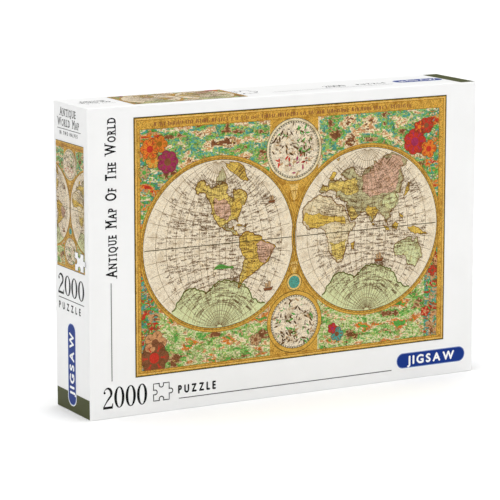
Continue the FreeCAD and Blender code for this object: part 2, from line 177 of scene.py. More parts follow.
class Glyphs:
    """The plain built-in lettering, cut into flat triangles one letter at a time."""

    def __init__(self) -> None:
        """Start with no letters cut."""
        self.cut: dict[str, tuple[list[Triangle], float, float]] = {}

    def letter(self, char: str) -> tuple[list[Triangle], float, float]:
        """One letter's triangles, its width and its height, at the font's own size of 1."""
        if char not in self.cut:
            curve = bpy.data.curves.new("letter", "FONT")
            curve.body = char
            holder = bpy.data.objects.new("letter", curve)
            bpy.context.scene.collection.objects.link(holder)
            bpy.context.view_layer.update()
            shown = holder.evaluated_get(bpy.context.evaluated_depsgraph_get())
            mesh = bpy.data.meshes.new_from_object(shown)
            mesh.calc_loop_triangles()
            points = [(v.co.x, v.co.y) for v in mesh.vertices]
            left = min((p[0] for p in points), default=0.0)
            triangles = [tuple((points[i][0] - left, points[i][1]) for i in t.vertices)
                         for t in mesh.loop_triangles]
            width = max((p[0] for p in points), default=0.3) - left
            height = max((p[1] for p in points), default=0.7)
            bpy.data.objects.remove(holder)
            bpy.data.curves.remove(curve)
            bpy.data.meshes.remove(mesh)
            self.cut[char] = (triangles, width, height)
        return self.cut[char]


GLYPHS = Glyphs()

# Where each capital's serifs stand: shares of its width and height
FEET, HEADS = ((0.0, 0.0), (1.0, 0.0)), ((0.0, 1.0), (1.0, 1.0))
STEM = ((0.0, 0.0), (0.0, 1.0))
SERIFS: dict[str, tuple[Point, ...]] = {
    "A": FEET, "D": STEM, "E": STEM, "F": STEM, "H": FEET + HEADS, "I": ((0.5, 0.0), (0.5, 1.0)), "L": STEM,
    "M": FEET + HEADS, "N": STEM + HEADS[1:], "P": STEM, "R": STEM + FEET[1:], "T": ((0.5, 0.0),),
    "U": HEADS, "V": HEADS, "W": HEADS}


class Artwork:
    """A printed design as flat coloured triangles, in millimetres on its own sheet."""

    def __init__(self) -> None:
        """Start with a blank sheet."""
        self.triangles: dict[tuple[Print, int], list[Triangle]] = defaultdict(list)
        self.count = 0

    def patch(self, ink: Print) -> list[Triangle]:
        """A new patch's triangles; patches of one level take turns over its heights."""
        self.count += 1
        return self.triangles[ink, self.count % TURNS]

    def area(self, outline: Sequence[Point], ink: Print) -> None:
        """Print a closed outline as one area."""
        flat = [Vector((u, v, 0.0)) for u, v in outline]
        patch = self.patch(ink)
        for corners in tessellate_polygon([flat]):
            patch.append(tuple(tuple(outline[i]) for i in corners))

    def tile(self, corners: Sequence[Point], ink: Print) -> None:
        """Print a four-sided cell of a mosaic, whose cells share one height and don't overlap."""
        a, b, c, d = corners
        self.triangles[ink, 0] += [(a, b, c), (a, c, d)]

    def box(self, low: Point, high: Point, ink: Print) -> None:
        """Print an upright rectangle."""
        self.area([low, (high[0], low[1]), high, (low[0], high[1])], ink)

    def rounded_box(self, low: Point, high: Point, radius: float, ink: Print) -> None:
        """Print a rectangle with rounded corners.

        Args:
            low: Its lower left corner.
            high: Its upper right corner.
            radius: The radius of each corner.
            ink: How it is printed.
        """
        outline: Path = []
        for u, v, start in ((high[0] - radius, low[1] + radius, -90), (high[0] - radius, high[1] - radius, 0),
                            (low[0] + radius, high[1] - radius, 90), (low[0] + radius, low[1] + radius, 180)):
            outline += arc_path((u, v), (radius, radius), start, start + 90, 8)
        self.area(outline, ink)

    def disc(self, centre: Point, radius: float, ink: Print, count: int = 48) -> None:
        """Print a round area."""
        self.area(arc_path(centre, (radius, radius), 0, 360, count)[:-1], ink)

    def line(self, path: Sequence[Point], width: float | Sequence[float], ink: Print,
             closed: bool = False) -> None:
        """Print a line of even or of changing width along a path.

        Args:
            path: The points that it follows.
            width: Its width, or its width at each point.
            ink: How it is printed.
            closed: Whether its last point joins its first.
        """
        points = list(path) + ([path[0]] if closed else [])
        widths = [width] * len(points) if isinstance(width, (int, float)) else list(width)
        left: Path = []
        right: Path = []
        for i, (u, v) in enumerate(points):
            before = points[i - 1] if i else (points[-2] if closed else points[0])
            after = points[i + 1] if i + 1 < len(points) else (points[1] if closed else points[-1])
            du, dv = after[0] - before[0], after[1] - before[1]
            size = math.hypot(du, dv) or 1.0
            nu, nv = -dv / size * widths[i] / 2, du / size * widths[i] / 2
            left.append((u + nu, v + nv))
            right.append((u - nu, v - nv))
        patch = self.patch(ink)
        for i in range(len(points) - 1):
            patch.append((right[i], right[i + 1], left[i + 1]))
            patch.append((right[i], left[i + 1], left[i]))

    def ring(self, centre: Point, inner: float, outer: float, ink: Print, count: int = 96) -> None:
        """Print a ring."""
        middle = (inner + outer) / 2
        self.line(arc_path(centre, (middle, middle), 0, 360, count)[:-1], outer - inner, ink, closed=True)

    def words(self, text: str, start: Point, height: float, ink: Print, stretch: float = 1.0,
              spacing: float = 0.25, upright: bool = False, initials: float = 1.0,
              bold: float = 0.0, serifs: bool = False) -> float:
        """Print a line of capitals.

        Args:
            text: The words.
            start: The lower left corner of the first letter.
            height: The height of a letter.
            ink: How they are printed.
            stretch: Width over the font's own.
            spacing: Air between letters, as a share of the height.
            upright: Whether the line climbs, its letters lying on their backs.
            initials: The height of each word's first letter, as a share of the others'.
            bold: How far each stroke is thickened, as a share of the height.
            serifs: Whether the letters stand on short feet.

        Returns:
            How long the line came out.
        """
        ordinary = GLYPHS.letter("H")[2]
        place = 0.0
        for i, char in enumerate(text):
            if char == " ":
                place += height * (spacing + 0.42)
                continue
            triangles, width, _ = GLYPHS.letter(char)
            first = i == 0 or text[i - 1] == " "
            scale = height / ordinary * (initials if first else 1.0)
            for nudge in ((-bold, 0.0), (bold, 0.0), (0.0, bold), (0.0, -bold)) if bold else ((0.0, 0.0),):
                patch = self.patch(ink)
                for corners in triangles:
                    along = [(place + u * scale * stretch + nudge[0] * height, v * scale + nudge[1] * height)
                             for u, v in corners]
                    if upright:
                        along = [(-v, u) for u, v in along]
                    patch.append(tuple((start[0] + u, start[1] + v) for u, v in along))
            for across, up in SERIFS.get(char, ()) if serifs else ():
                middle = (place + across * width * scale * stretch, up * ordinary * scale)
                reach, thick = height * 0.19, height * 0.05
                foot = [(middle[0] + x * reach, middle[1] + y * thick) for x, y in
                        ((-1, -1), (1, -1), (1, 1), (-1, 1))]
                if upright:
                    foot = [(-v, u) for u, v in foot]
                self.area([(start[0] + u, start[1] + v) for u, v in foot], ink)
            place += width * scale * stretch + height * spacing
        return place - height * spacing

    def writing(self, start: Point, end: Point, height: float, ink: Print, seed: int) -> None:
        """A line of lettering too small to read, as strokes in word groups.

        Args:
            start: Where it begins.
            end: Where it ends.
            height: The height of a letter.
            ink: How it is printed.
            seed: The seed of its strokes.
        """
        draw = random.Random(seed)
        length = math.hypot(end[0] - start[0], end[1] - start[1])
        way = ((end[0] - start[0]) / length, (end[1] - start[1]) / length)
        place = 0.0
        while place < length:
            if draw.random() < 0.16:
                place += height * 0.7
            lean, tall = draw.uniform(-0.25, 0.25) * height, height * draw.uniform(0.65, 1.0)
            base = (start[0] + way[0] * place, start[1] + way[1] * place)
            top = (base[0] - way[1] * tall + way[0] * lean, base[1] + way[0] * tall + way[1] * lean)
            self.line([base, top], height * 0.24, ink)
            place += height * draw.uniform(0.35, 0.6)

    def frame(self, low: Point, high: Point, width: float, ink: Print) -> None:
        """Print a rectangle's outline as four bars."""
        for corner, far in ((low, (high[0], low[1] + width)), ((low[0], high[1] - width), high),
                            ((low[0], low[1] + width), (low[0] + width, high[1] - width)),
                            ((high[0] - width, low[1] + width), (high[0], high[1] - width))):
            self.box(corner, far, ink)

    def paste(self, other: "Artwork", low: Point, high: Point, scale: float, place: Point,
              turned: bool = False, lift: int = 0) -> None:
        """Print a window of another design on this one.

        Args:
            other: The design.
            low: The window's lower left corner on it.
            high: The window's upper right corner on it.
            scale: Its size here over its size there.
            place: Where the window's lower left corner comes.
            turned: Whether it is turned a quarter to the left.
            lift: Levels added to those it was drawn on.
        """
        for (ink, turn), triangles in other.triangles.items():
            raised = Print(ink.ink, ink.level + lift, ink.engraved)
            for triangle in triangles:
                corners = clip(triangle, low, high)
                moved = [((u - low[0]) * scale, (v - low[1]) * scale) for u, v in corners]
                if turned:
                    moved = [((high[1] - low[1]) * scale - v, u) for u, v in moved]
                moved = [(place[0] + u, place[1] + v) for u, v in moved]
                for i in range(1, len(moved) - 1):
                    self.triangles[raised, turn].append((moved[0], moved[i], moved[i + 1]))


def clip(corners: Sequence[Point], low: Point, high: Point) -> Path:
    """What is left of a convex outline inside an upright window.

    Args:
        corners: The outline.
        low: The window's lower left corner.
        high: The window's upper right corner.

    Returns:
        The outline that is left, empty where nothing is.
    """
    outline = list(corners)
    for axis in (0, 1):
        for limit, side in ((low[axis], 1), (high[axis], -1)):
            kept: Path = []
            for i, point in enumerate(outline):
                before = outline[i - 1]
                inside = side * (point[axis] - limit) >= 0
                was_inside = side * (before[axis] - limit) >= 0
                if inside != was_inside:
                    share = (limit - before[axis]) / (point[axis] - before[axis])
                    kept.append(tuple(b + (p - b) * share for b, p in zip(before, point)))
                if inside:
                    kept.append(point)
            outline = kept
            if not outline:
                return []
    return outline


@dataclass(frozen=True)
class Face:
    """A flat side of the box that takes print: its lower left corner and its three directions."""

    corner: Vector
    right: Vector
    up: Vector
    out: Vector
    proud: float = 0.03
    step: float = 0.022

    def mesh(self, art: Artwork, name: str, body: str, slot: str,
             material: bpy.types.Material) -> bpy.types.Object:
        """Lay a design on this side as one thin piece.

        Args:
            art: The design, in millimetres from this side's lower left corner.
            name: The piece's name.
            body: The body that it rides on.
            slot: The material slot of the record that it belongs to; not used.
            material: Its finish.

        Returns:
            The new piece, declared to the frame.
        """
        points: list[Vector] = []
        faces: list[tuple[int, int, int]] = []
        colours: list[float] = []
        for (ink, turn), triangles in art.triangles.items():
            height = self.proud + self.step * (ink.level + 0.8 * turn / TURNS)
            colour = (*linear(ink.ink.value)[:3], ink.engraved)
            for triangle in triangles:
                (ax, ay), (bx, by), (cx, cy) = triangle
                area = (bx - ax) * (cy - ay) - (by - ay) * (cx - ax)
                if abs(area) < 1e-7:
                    continue
                ordered = triangle if area > 0 else (triangle[0], triangle[2], triangle[1])
                first = len(points)
                points += [(self.corner + self.right * u + self.up * v + self.out * height) * MM
                           for u, v in ordered]
                colours += colour * 3
                faces.append((first, first + 1, first + 2))
        mesh = bpy.data.meshes.new(name)
        mesh.from_pydata(points, [], faces)
        layer = mesh.color_attributes.new("ink", "FLOAT_COLOR", "POINT")
        layer.data.foreach_set("color", colours)
        mesh.materials.append(material)
        return declare(link(name, mesh), body)


def link(name: str, mesh: bpy.types.Mesh) -> bpy.types.Object:
    """A new object in the scene for a mesh."""
    obj = bpy.data.objects.new(name, mesh)
    bpy.context.scene.collection.objects.link(obj)
    return obj


def declare(obj: bpy.types.Object, body: str) -> bpy.types.Object:
    """Tell the frame which body a piece rides on.

    Args:
        obj: The piece.
        body: The body that it rides on.

    Returns:
        The same piece.
    """
    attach(obj, body)
    LOG.info("%s: %d faces on %s", obj.name, len(obj.data.polygons), body)
    return obj


# -------------------------------------------------------------- finishes

def add(tree: bpy.types.NodeTree, kind: str, inputs: dict | None = None, **settings) -> bpy.types.Node:
    """Add a node with its settings and its inputs.

    Args:
        tree: The node tree.
        kind: The node's type.
        inputs: For each input, by name or number, a value or the output socket that feeds it.
        **settings: The node's own properties.

    Returns:
        The node.
    """
    made = tree.nodes.new(kind)
    for name, setting in settings.items():
        setattr(made, name, setting)
    for key, given in (inputs or {}).items():
        socket = made.inputs[key]
        if isinstance(given, bpy.types.NodeSocket):
            tree.links.new(given, socket)
        else:
            socket.default_value = given
    return made


def ramp(tree: bpy.types.NodeTree, factor: bpy.types.NodeSocket,
         stops: Iterable[tuple[float, str]]) -> bpy.types.NodeSocket:
    """A colour ramp between sRGB colours, each at its place from 0 to 1.

    Args:
        tree: The node tree.
        factor: The socket that picks the place.
        stops: Places and their colours.

    Returns:
        The ramp's colour.
    """
    made = add(tree, "ShaderNodeValToRGB", {"Fac": factor})
    elements = made.color_ramp.elements
    for i, (place, colour) in enumerate(stops):
        element = elements[i] if i < 2 else elements.new(place)
        element.position = place
        element.color = linear(colour)
    return made.outputs["Color"]


def per_mm(size: float) -> float:
    """A noise or wave scale, for Object coordinates in metres, that repeats at this size in mm."""
    return 1 / (size * MM)


@dataclass(frozen=True)
class Finish:
    """What every finish has: its name, its roughness, and what its surface is made of."""

    name: str
    roughness: float = 0.5

    def start(self) -> tuple[bpy.types.Material, bpy.types.NodeTree, bpy.types.Node, bpy.types.NodeSocket]:
        """A material, its tree, its shader and its Object coordinates."""
        material = bpy.data.materials.new(self.name)
        material.use_nodes = True
        tree = material.node_tree
        shader = tree.nodes["Principled BSDF"]
        shader.inputs["Roughness"].default_value = self.roughness
        place = add(tree, "ShaderNodeTexCoord").outputs["Object"]
        return material, tree, shader, place

    def noise(self, tree: bpy.types.NodeTree, place: bpy.types.NodeSocket, size: float,
              detail: float = 3.0, distortion: float = 0.0) -> bpy.types.NodeSocket:
        """A noise whose blotches are about this many millimetres."""
        return add(tree, "ShaderNodeTexNoise", {"Vector": place, "Scale": per_mm(size), "Detail": detail,
                                                "Distortion": distortion}).outputs["Fac"]

    def bump(self, tree: bpy.types.NodeTree, shader: bpy.types.Node, height: bpy.types.NodeSocket,
             strength: float, depth: float) -> None:
        """Raise the surface by a height, up to a depth in millimetres.

        Args:
            tree: The node tree.
            shader: The shader whose normal is turned.
            height: The height, from 0 to 1.
            strength: How much of the bump shows.
            depth: How deep it is, in millimetres.
        """
        raised = add(tree, "ShaderNodeBump", {"Strength": strength, "Distance": depth * MM,
                                              "Height": height})
        tree.links.new(raised.outputs["Normal"], shader.inputs["Normal"])


@dataclass(frozen=True)
class LithoPrint(Finish):
    """Offset print on coated wrap paper under a matt varnish: even ink with a soft low sheen.

    Where a patch carries engraving, its colour breaks into mottled tint and short burin strokes, as
    in a hand-coloured copperplate. Real burin lines are a few tenths of a millimetre apart, too fine
    to show, so these are drawn 1.5 mm coarse.
    """

    tint_size: float = 7.0
    stroke_size: float = 1.5

    def make(self) -> bpy.types.Material:
        """The material."""
        material, tree, shader, place = self.start()
        ink = add(tree, "ShaderNodeAttribute", attribute_name="ink")
        tint = ramp(tree, self.noise(tree, place, self.tint_size, 4.0, 0.6),
                    ((0.3, "#c6ad7c"), (0.52, "#ffffff"), (0.75, "#fbe9c0")))
        strokes = add(tree, "ShaderNodeTexNoise", {
            "Vector": add(tree, "ShaderNodeMapping", {"Vector": place, "Scale": (1.0, 1.0, 2.2),
                                                      "Rotation": (0.0, 0.5, 0.0)}).outputs[0],
            "Scale": per_mm(self.stroke_size), "Detail": 2.0})
        cut = ramp(tree, strokes.outputs["Fac"], ((0.38, "#7d6238"), (0.52, "#ffffff")))
        tinted = add(tree, "ShaderNodeMix", {"Factor": 0.8, 6: tint, 7: cut}, data_type="RGBA",
                     blend_type="MULTIPLY")
        share = add(tree, "ShaderNodeMath", {0: ink.outputs["Alpha"], 1: 0.9}, operation="MULTIPLY")
        whole = add(tree, "ShaderNodeMix", {"Factor": share.outputs[0], 6: ink.outputs["Color"],
                                            7: tinted.outputs[2]}, data_type="RGBA",
                    blend_type="MULTIPLY")
        tree.links.new(whole.outputs[2], shader.inputs["Base Color"])
        shader.inputs["Specular IOR Level"].default_value = 0.12
        self.bump(tree, shader, self.noise(tree, place, 0.9), 0.12, 0.05)
        return material


@dataclass(frozen=True)
class WrapPaper(Finish):
    """White coated label paper, glued over board: clean white with the board's faint waviness."""

    colour: str = "#fbfbfa"
    shade: str = "#f8f8f7"

    def make(self) -> bpy.types.Material:
        """The material."""
        material, tree, shader, place = self.start()
        tree.links.new(ramp(tree, self.noise(tree, place, 38.0), ((0.35, self.shade), (0.65, self.colour))),
                       shader.inputs["Base Color"])
        shader.inputs["Coat Weight"].default_value = 0.12
        shader.inputs["Coat Roughness"].default_value = 0.35
        self.bump(tree, shader, self.noise(tree, place, 1.1, 5.0), 0.1, 0.05)
        return material


@dataclass(frozen=True)
class Greyboard(Finish):
    """Raw recycled chipboard: grey-brown felted fibre with dark and pale flecks, quite matt."""

    def make(self) -> bpy.types.Material:
        """The material."""
        material, tree, shader, place = self.start()
        felt = ramp(tree, self.noise(tree, place, 2.4, 6.0), ((0.3, "#8b8578"), (0.7, "#a7a194")))
        cells = add(tree, "ShaderNodeTexVoronoi", {"Vector": place, "Scale": per_mm(2.6)})
        flecks = ramp(tree, cells.outputs["Distance"], ((0.07, "#4f4a42"), (0.13, "#ffffff")))
        mixed = add(tree, "ShaderNodeMix", {"Factor": 0.7, 6: felt, 7: flecks}, data_type="RGBA",
                    blend_type="MULTIPLY")
        tree.links.new(mixed.outputs[2], shader.inputs["Base Color"])
        self.bump(tree, shader, self.noise(tree, place, 0.8, 6.0), 0.4, 0.12)
        return material


@dataclass(frozen=True)
class KraftTape(Finish):
    """Brown gummed kraft tape: straight faint fibres along it and a dull sheen."""

    def make(self) -> bpy.types.Material:
        """The material."""
        material, tree, shader, place = self.start()
        drawn = add(tree, "ShaderNodeMapping", {"Vector": place, "Scale": (1.0, 0.12, 1.0)})
        fibre = self.noise(tree, drawn.outputs[0], 0.9, 5.0)
        tree.links.new(ramp(tree, fibre, ((0.3, "#94683f"), (0.7, "#b98c5c"))), shader.inputs["Base Color"])
        self.bump(tree, shader, fibre, 0.25, 0.05)
        return material


@dataclass(frozen=True)
class PolytheneFilm(Finish):
    """Clear blown polythene: nearly colourless, a little milky, with sharp wrinkled highlights."""

    clarity: float = 0.94

    def make(self) -> bpy.types.Material:
        """The material."""
        material, tree, shader, place = self.start()
        tree.links.new(ramp(tree, self.noise(tree, place, 30.0), ((0.3, "#dbe4e8"), (0.7, "#f2f6f8"))),
                       shader.inputs["Base Color"])
        haze = add(tree, "ShaderNodeMapRange", {"Value": self.noise(tree, place, 22.0, 4.0, 1.0),
                                                "From Min": 0.35, "From Max": 0.75,
                                                "To Min": 1.0 - self.clarity, "To Max": 0.2})
        edge = add(tree, "ShaderNodeMapRange", {
            "Value": add(tree, "ShaderNodeLayerWeight", {"Blend": 0.3}).outputs["Facing"],
            "From Min": 0.3, "From Max": 1.0, "To Min": 0.0, "To Max": 0.5})
        cover = add(tree, "ShaderNodeMath", {0: haze.outputs["Result"], 1: edge.outputs["Result"]},
                    operation="ADD")
        tree.links.new(cover.outputs[0], shader.inputs["Alpha"])
        shader.inputs["IOR"].default_value = 1.51
        creases = add(tree, "ShaderNodeTexNoise", {"Vector": place, "Scale": per_mm(9.0), "Detail": 4.0,
                                                   "Distortion": 1.6})
        self.bump(tree, shader, creases.outputs["Fac"], 0.6, 1.2)
        return material


@dataclass(frozen=True)
class PuzzleBoard(Finish):
    """Die-cut puzzle board: a linen-embossed print on one face, blue-grey core on the rest."""

    def make(self) -> bpy.types.Material:
        """The material."""
        material, tree, shader, place = self.start()
        face = add(tree, "ShaderNodeAttribute", attribute_name="printed")
        tint = add(tree, "ShaderNodeAttribute", attribute_name="tint")
        inks = ramp(tree, tint.outputs["Fac"], (
            (0.0, Ink.SEA.value), (0.34, Ink.GREEN_LAND.value), (0.46, Ink.OCHRE_LAND.value),
            (0.58, Ink.GOLD.value), (0.72, Ink.PINK_LAND.value), (0.8, Ink.LEAF_LIGHT.value),
            (0.88, Ink.TEAL.value), (0.94, Ink.ROCK.value), (0.98, Ink.RED.value)))
        inks.node.color_ramp.interpolation = "CONSTANT"
        detail = ramp(tree, self.noise(tree, place, 3.2, 4.0, 0.8), ((0.36, "#8d7046"), (0.52, "#ffffff")))
        printed = add(tree, "ShaderNodeMix", {"Factor": 0.75, 6: inks, 7: detail},
                      data_type="RGBA", blend_type="MULTIPLY")
        core = ramp(tree, self.noise(tree, place, 1.6, 5.0), ((0.3, "#7f8c98"), (0.7, "#a4afb8")))
        whole = add(tree, "ShaderNodeMix", {"Factor": face.outputs["Fac"], 6: core,
                                            7: printed.outputs[2]}, data_type="RGBA")
        tree.links.new(whole.outputs[2], shader.inputs["Base Color"])
        self.bump(tree, shader, self.noise(tree, place, 0.7), 0.3, 0.1)
        return material


@dataclass(frozen=True)
class StudioPaper(Finish):
    """Seamless white backdrop paper."""

    def make(self) -> bpy.types.Material:
        """The material."""
        material, tree, shader, place = self.start()
        tree.links.new(ramp(tree, self.noise(tree, place, 300.0), ((0.3, "#fdfdfd"), (0.7, "#ffffff"))),
                       shader.inputs["Base Color"])
        return material


# ------------------------------------------------------------- world map

LonLat = tuple[float, float]

# The world's coasts in a few points each, as longitude and latitude, and rough countries to tint
AMERICA_NORTH: tuple[LonLat, ...] = (
    (-168, 66), (-165, 60), (-158, 57), (-150, 60), (-140, 60), (-132, 55), (-125, 49), (-124, 40),
    (-118, 33), (-112, 26), (-106, 22), (-98, 16), (-90, 13), (-84, 9), (-79, 8), (-83, 14), (-88, 17),
    (-87, 21), (-91, 19), (-97, 21), (-97, 27), (-90, 30), (-83, 29), (-81, 25), (-80, 31), (-75, 36),
    (-70, 42), (-62, 45), (-56, 52), (-64, 59), (-76, 62), (-80, 54), (-88, 57), (-94, 62), (-86, 68),
    (-110, 70), (-140, 70), (-157, 71))
AMERICA_PINK: tuple[LonLat, ...] = (
    (-120, 58), (-98, 56), (-90, 48), (-90, 36), (-98, 30), (-108, 34), (-118, 44))
AMERICA_EAST: tuple[LonLat, ...] = (
    (-88, 32), (-82, 31), (-76, 36), (-70, 43), (-64, 50), (-76, 52), (-88, 46))
AMERICA_MIDDLE: tuple[LonLat, ...] = (
    (-106, 24), (-98, 17), (-90, 14), (-85, 11), (-87, 16), (-94, 19), (-98, 26))
AMERICA_SOUTH: tuple[LonLat, ...] = (
    (-78, 8), (-72, 12), (-62, 10), (-52, 5), (-50, 0), (-42, -3), (-35, -7), (-39, -14), (-42, -22),
    (-48, -27), (-54, -34), (-60, -39), (-65, -44), (-68, -50), (-70, -54), (-74, -50), (-74, -42),
    (-72, -32), (-70, -20), (-76, -14), (-80, -6), (-80, 1))
BRAZIL: tuple[LonLat, ...] = (
    (-50, -1), (-42, -4), (-36, -8), (-40, -15), (-43, -22), (-50, -22), (-56, -12), (-57, -4))
CHILE: tuple[LonLat, ...] = (
    (-70, -20), (-65, -24), (-67, -36), (-70, -50), (-74, -44), (-72, -32))
GREENLAND: tuple[LonLat, ...] = (
    (-44, 60), (-30, 68), (-20, 75), (-30, 82), (-60, 82), (-56, 74), (-52, 66))
ARCTIC_WEST: tuple[LonLat, ...] = (
    (-120, 73), (-100, 72), (-84, 74), (-80, 82), (-100, 80), (-118, 77))
AUSTRALIA: tuple[LonLat, ...] = (
    (114, -22), (122, -17), (131, -12), (136, -12), (138, -17), (142, -11), (146, -19), (153, -27),
    (150, -37), (140, -38), (131, -31), (118, -35))
AFRICA: tuple[LonLat, ...] = (
    (-6, 35), (10, 37), (20, 32), (32, 31), (36, 24), (40, 16), (43, 11), (51, 12), (47, 2), (41, -5),
    (40, -15), (35, -24), (30, -32), (20, -35), (15, -28), (12, -16), (12, -5), (9, 2), (3, 6), (-8, 4),
    (-15, 10), (-17, 18), (-12, 28))
AFRICA_YELLOW: tuple[LonLat, ...] = (
    (-15, 12), (-8, 6), (4, 8), (10, 10), (24, 12), (36, 10), (34, 18), (20, 19), (0, 20), (-14, 18))
AFRICA_SOUTH: tuple[LonLat, ...] = ((14, -10), (28, -12), (37, -10), (34, -24), (28, -32), (19, -33),
                                    (15, -24))
EURASIA: tuple[LonLat, ...] = (
    (-9, 37), (-9, 43), (-2, 44), (-4, 48), (2, 51), (8, 54), (10, 57), (18, 56), (24, 60), (12, 60),
    (6, 59), (14, 68), (26, 71), (42, 67), (58, 70), (80, 74), (105, 78), (130, 73), (156, 70),
    (170, 62), (160, 54), (146, 58), (140, 47), (132, 42), (127, 36), (122, 40), (121, 30), (116, 23),
    (108, 20), (108, 12), (102, 9), (104, 1), (99, 8), (97, 16), (91, 22), (85, 18), (80, 12), (77, 8),
    (73, 18), (67, 24), (58, 25), (59, 21), (52, 16), (44, 13), (40, 20), (35, 29), (35, 36), (27, 37),
    (23, 37), (19, 41), (16, 38), (12, 44), (4, 43), (0, 39), (-5, 36))
EUROPE: tuple[LonLat, ...] = (
    (-8, 38), (-7, 43), (0, 44), (-2, 48), (8, 53), (20, 55), (30, 60), (46, 62), (52, 50), (42, 46),
    (28, 44), (18, 46), (6, 44), (0, 40))
TARTARY: tuple[LonLat, ...] = (
    (56, 66), (80, 72), (110, 75), (140, 70), (162, 62), (140, 56), (128, 46), (100, 44), (76, 42),
    (60, 50))
CHINA: tuple[LonLat, ...] = (
    (100, 40), (120, 40), (124, 34), (119, 26), (108, 22), (102, 26), (96, 32))
INDIA: tuple[LonLat, ...] = ((68, 25), (74, 19), (78, 10), (84, 19), (92, 24), (84, 30), (72, 33))
ARABIA: tuple[LonLat, ...] = ((37, 29), (42, 18), (46, 14), (56, 19), (50, 28), (44, 33))
ISLANDS: tuple[tuple[LonLat, ...], ...] = (
    ((44, -16), (50, -14), (48, -25), (44, -24)), ((-6, 50), (1, 51), (0, 54), (-3, 58), (-7, 56)),
    ((130, 31), (136, 33), (142, 38), (142, 42), (136, 38)), ((109, 1), (115, 6), (119, 3), (116, -4),
                                                               (110, -2)),
    ((95, 5), (103, 1), (106, -6), (100, -3)), ((-24, 64), (-14, 65), (-18, 67)),
    ((119, 17), (125, 12), (124, 7), (120, 12)), ((130, -2), (142, -3), (152, -9), (140, -9)),
    ((-84, 22), (-76, 20), (-74, 20), (-80, 23)), ((-73, 19), (-68, 19), (-71, 17)),
    ((78, 8), (82, 8), (81, 5), (79, 5)))


@dataclass(frozen=True)
class Hemisphere:
    """One half of the globe in the equal-angle projection of old double maps."""

    centre: Point
    radius: float
    middle: float
    rim_angle: float = 89.0

    def place(self, longitude: float, latitude: float) -> Point:
        """Where a place comes on the sheet; one beyond the rim comes on the rim.

        Args:
            longitude: Degrees east.
            latitude: Degrees north.

        Returns:
            The point in millimetres on the sheet.
        """
        turn, rise = math.radians(longitude - self.middle), math.radians(latitude)
        across, upward = math.cos(rise) * math.sin(turn), math.sin(rise)
        away = math.acos(max(-1.0, min(1.0, math.cos(rise) * math.cos(turn))))
        away = min(away, math.radians(self.rim_angle))
        reach = self.radius * math.tan(away / 2) / (math.hypot(across, upward) or 1.0)
        return (self.centre[0] + across * reach, self.centre[1] + upward * reach)

    def holds(self, outline: Iterable[LonLat]) -> bool:
        """Whether any of an outline's places is on this half."""
        return any(abs(longitude - self.middle) < self.rim_angle for longitude, _ in outline)


def rugged(outline: Sequence[LonLat], seed: int, closed: bool = True, rounds: int = 3,
           roughness: float = 0.17) -> list[LonLat]:
    """A coast with bays and capes: each run's middle is pushed aside, and again for each half.

    Args:
        outline: The coast's main points.
        seed: The seed of its bays.
        closed: Whether the last point joins the first.
        rounds: How many times the runs are halved.
        roughness: How far a middle goes, as a share of its run.

    Returns:
        The finer coast.
    """
    draw = random.Random(seed)
    points = list(outline)
    for _ in range(rounds):
        finer: list[LonLat] = []
        ends = points[1:] + (points[:1] if closed else [])
        for start, end in zip(points, ends):
            push = draw.uniform(-roughness, roughness)
            finer += [start, ((start[0] + end[0]) / 2 - (end[1] - start[1]) * push,
                              (start[1] + end[1]) / 2 + (end[0] - start[0]) * push)]
        points = finer + ([] if closed else [points[-1]])
    return points


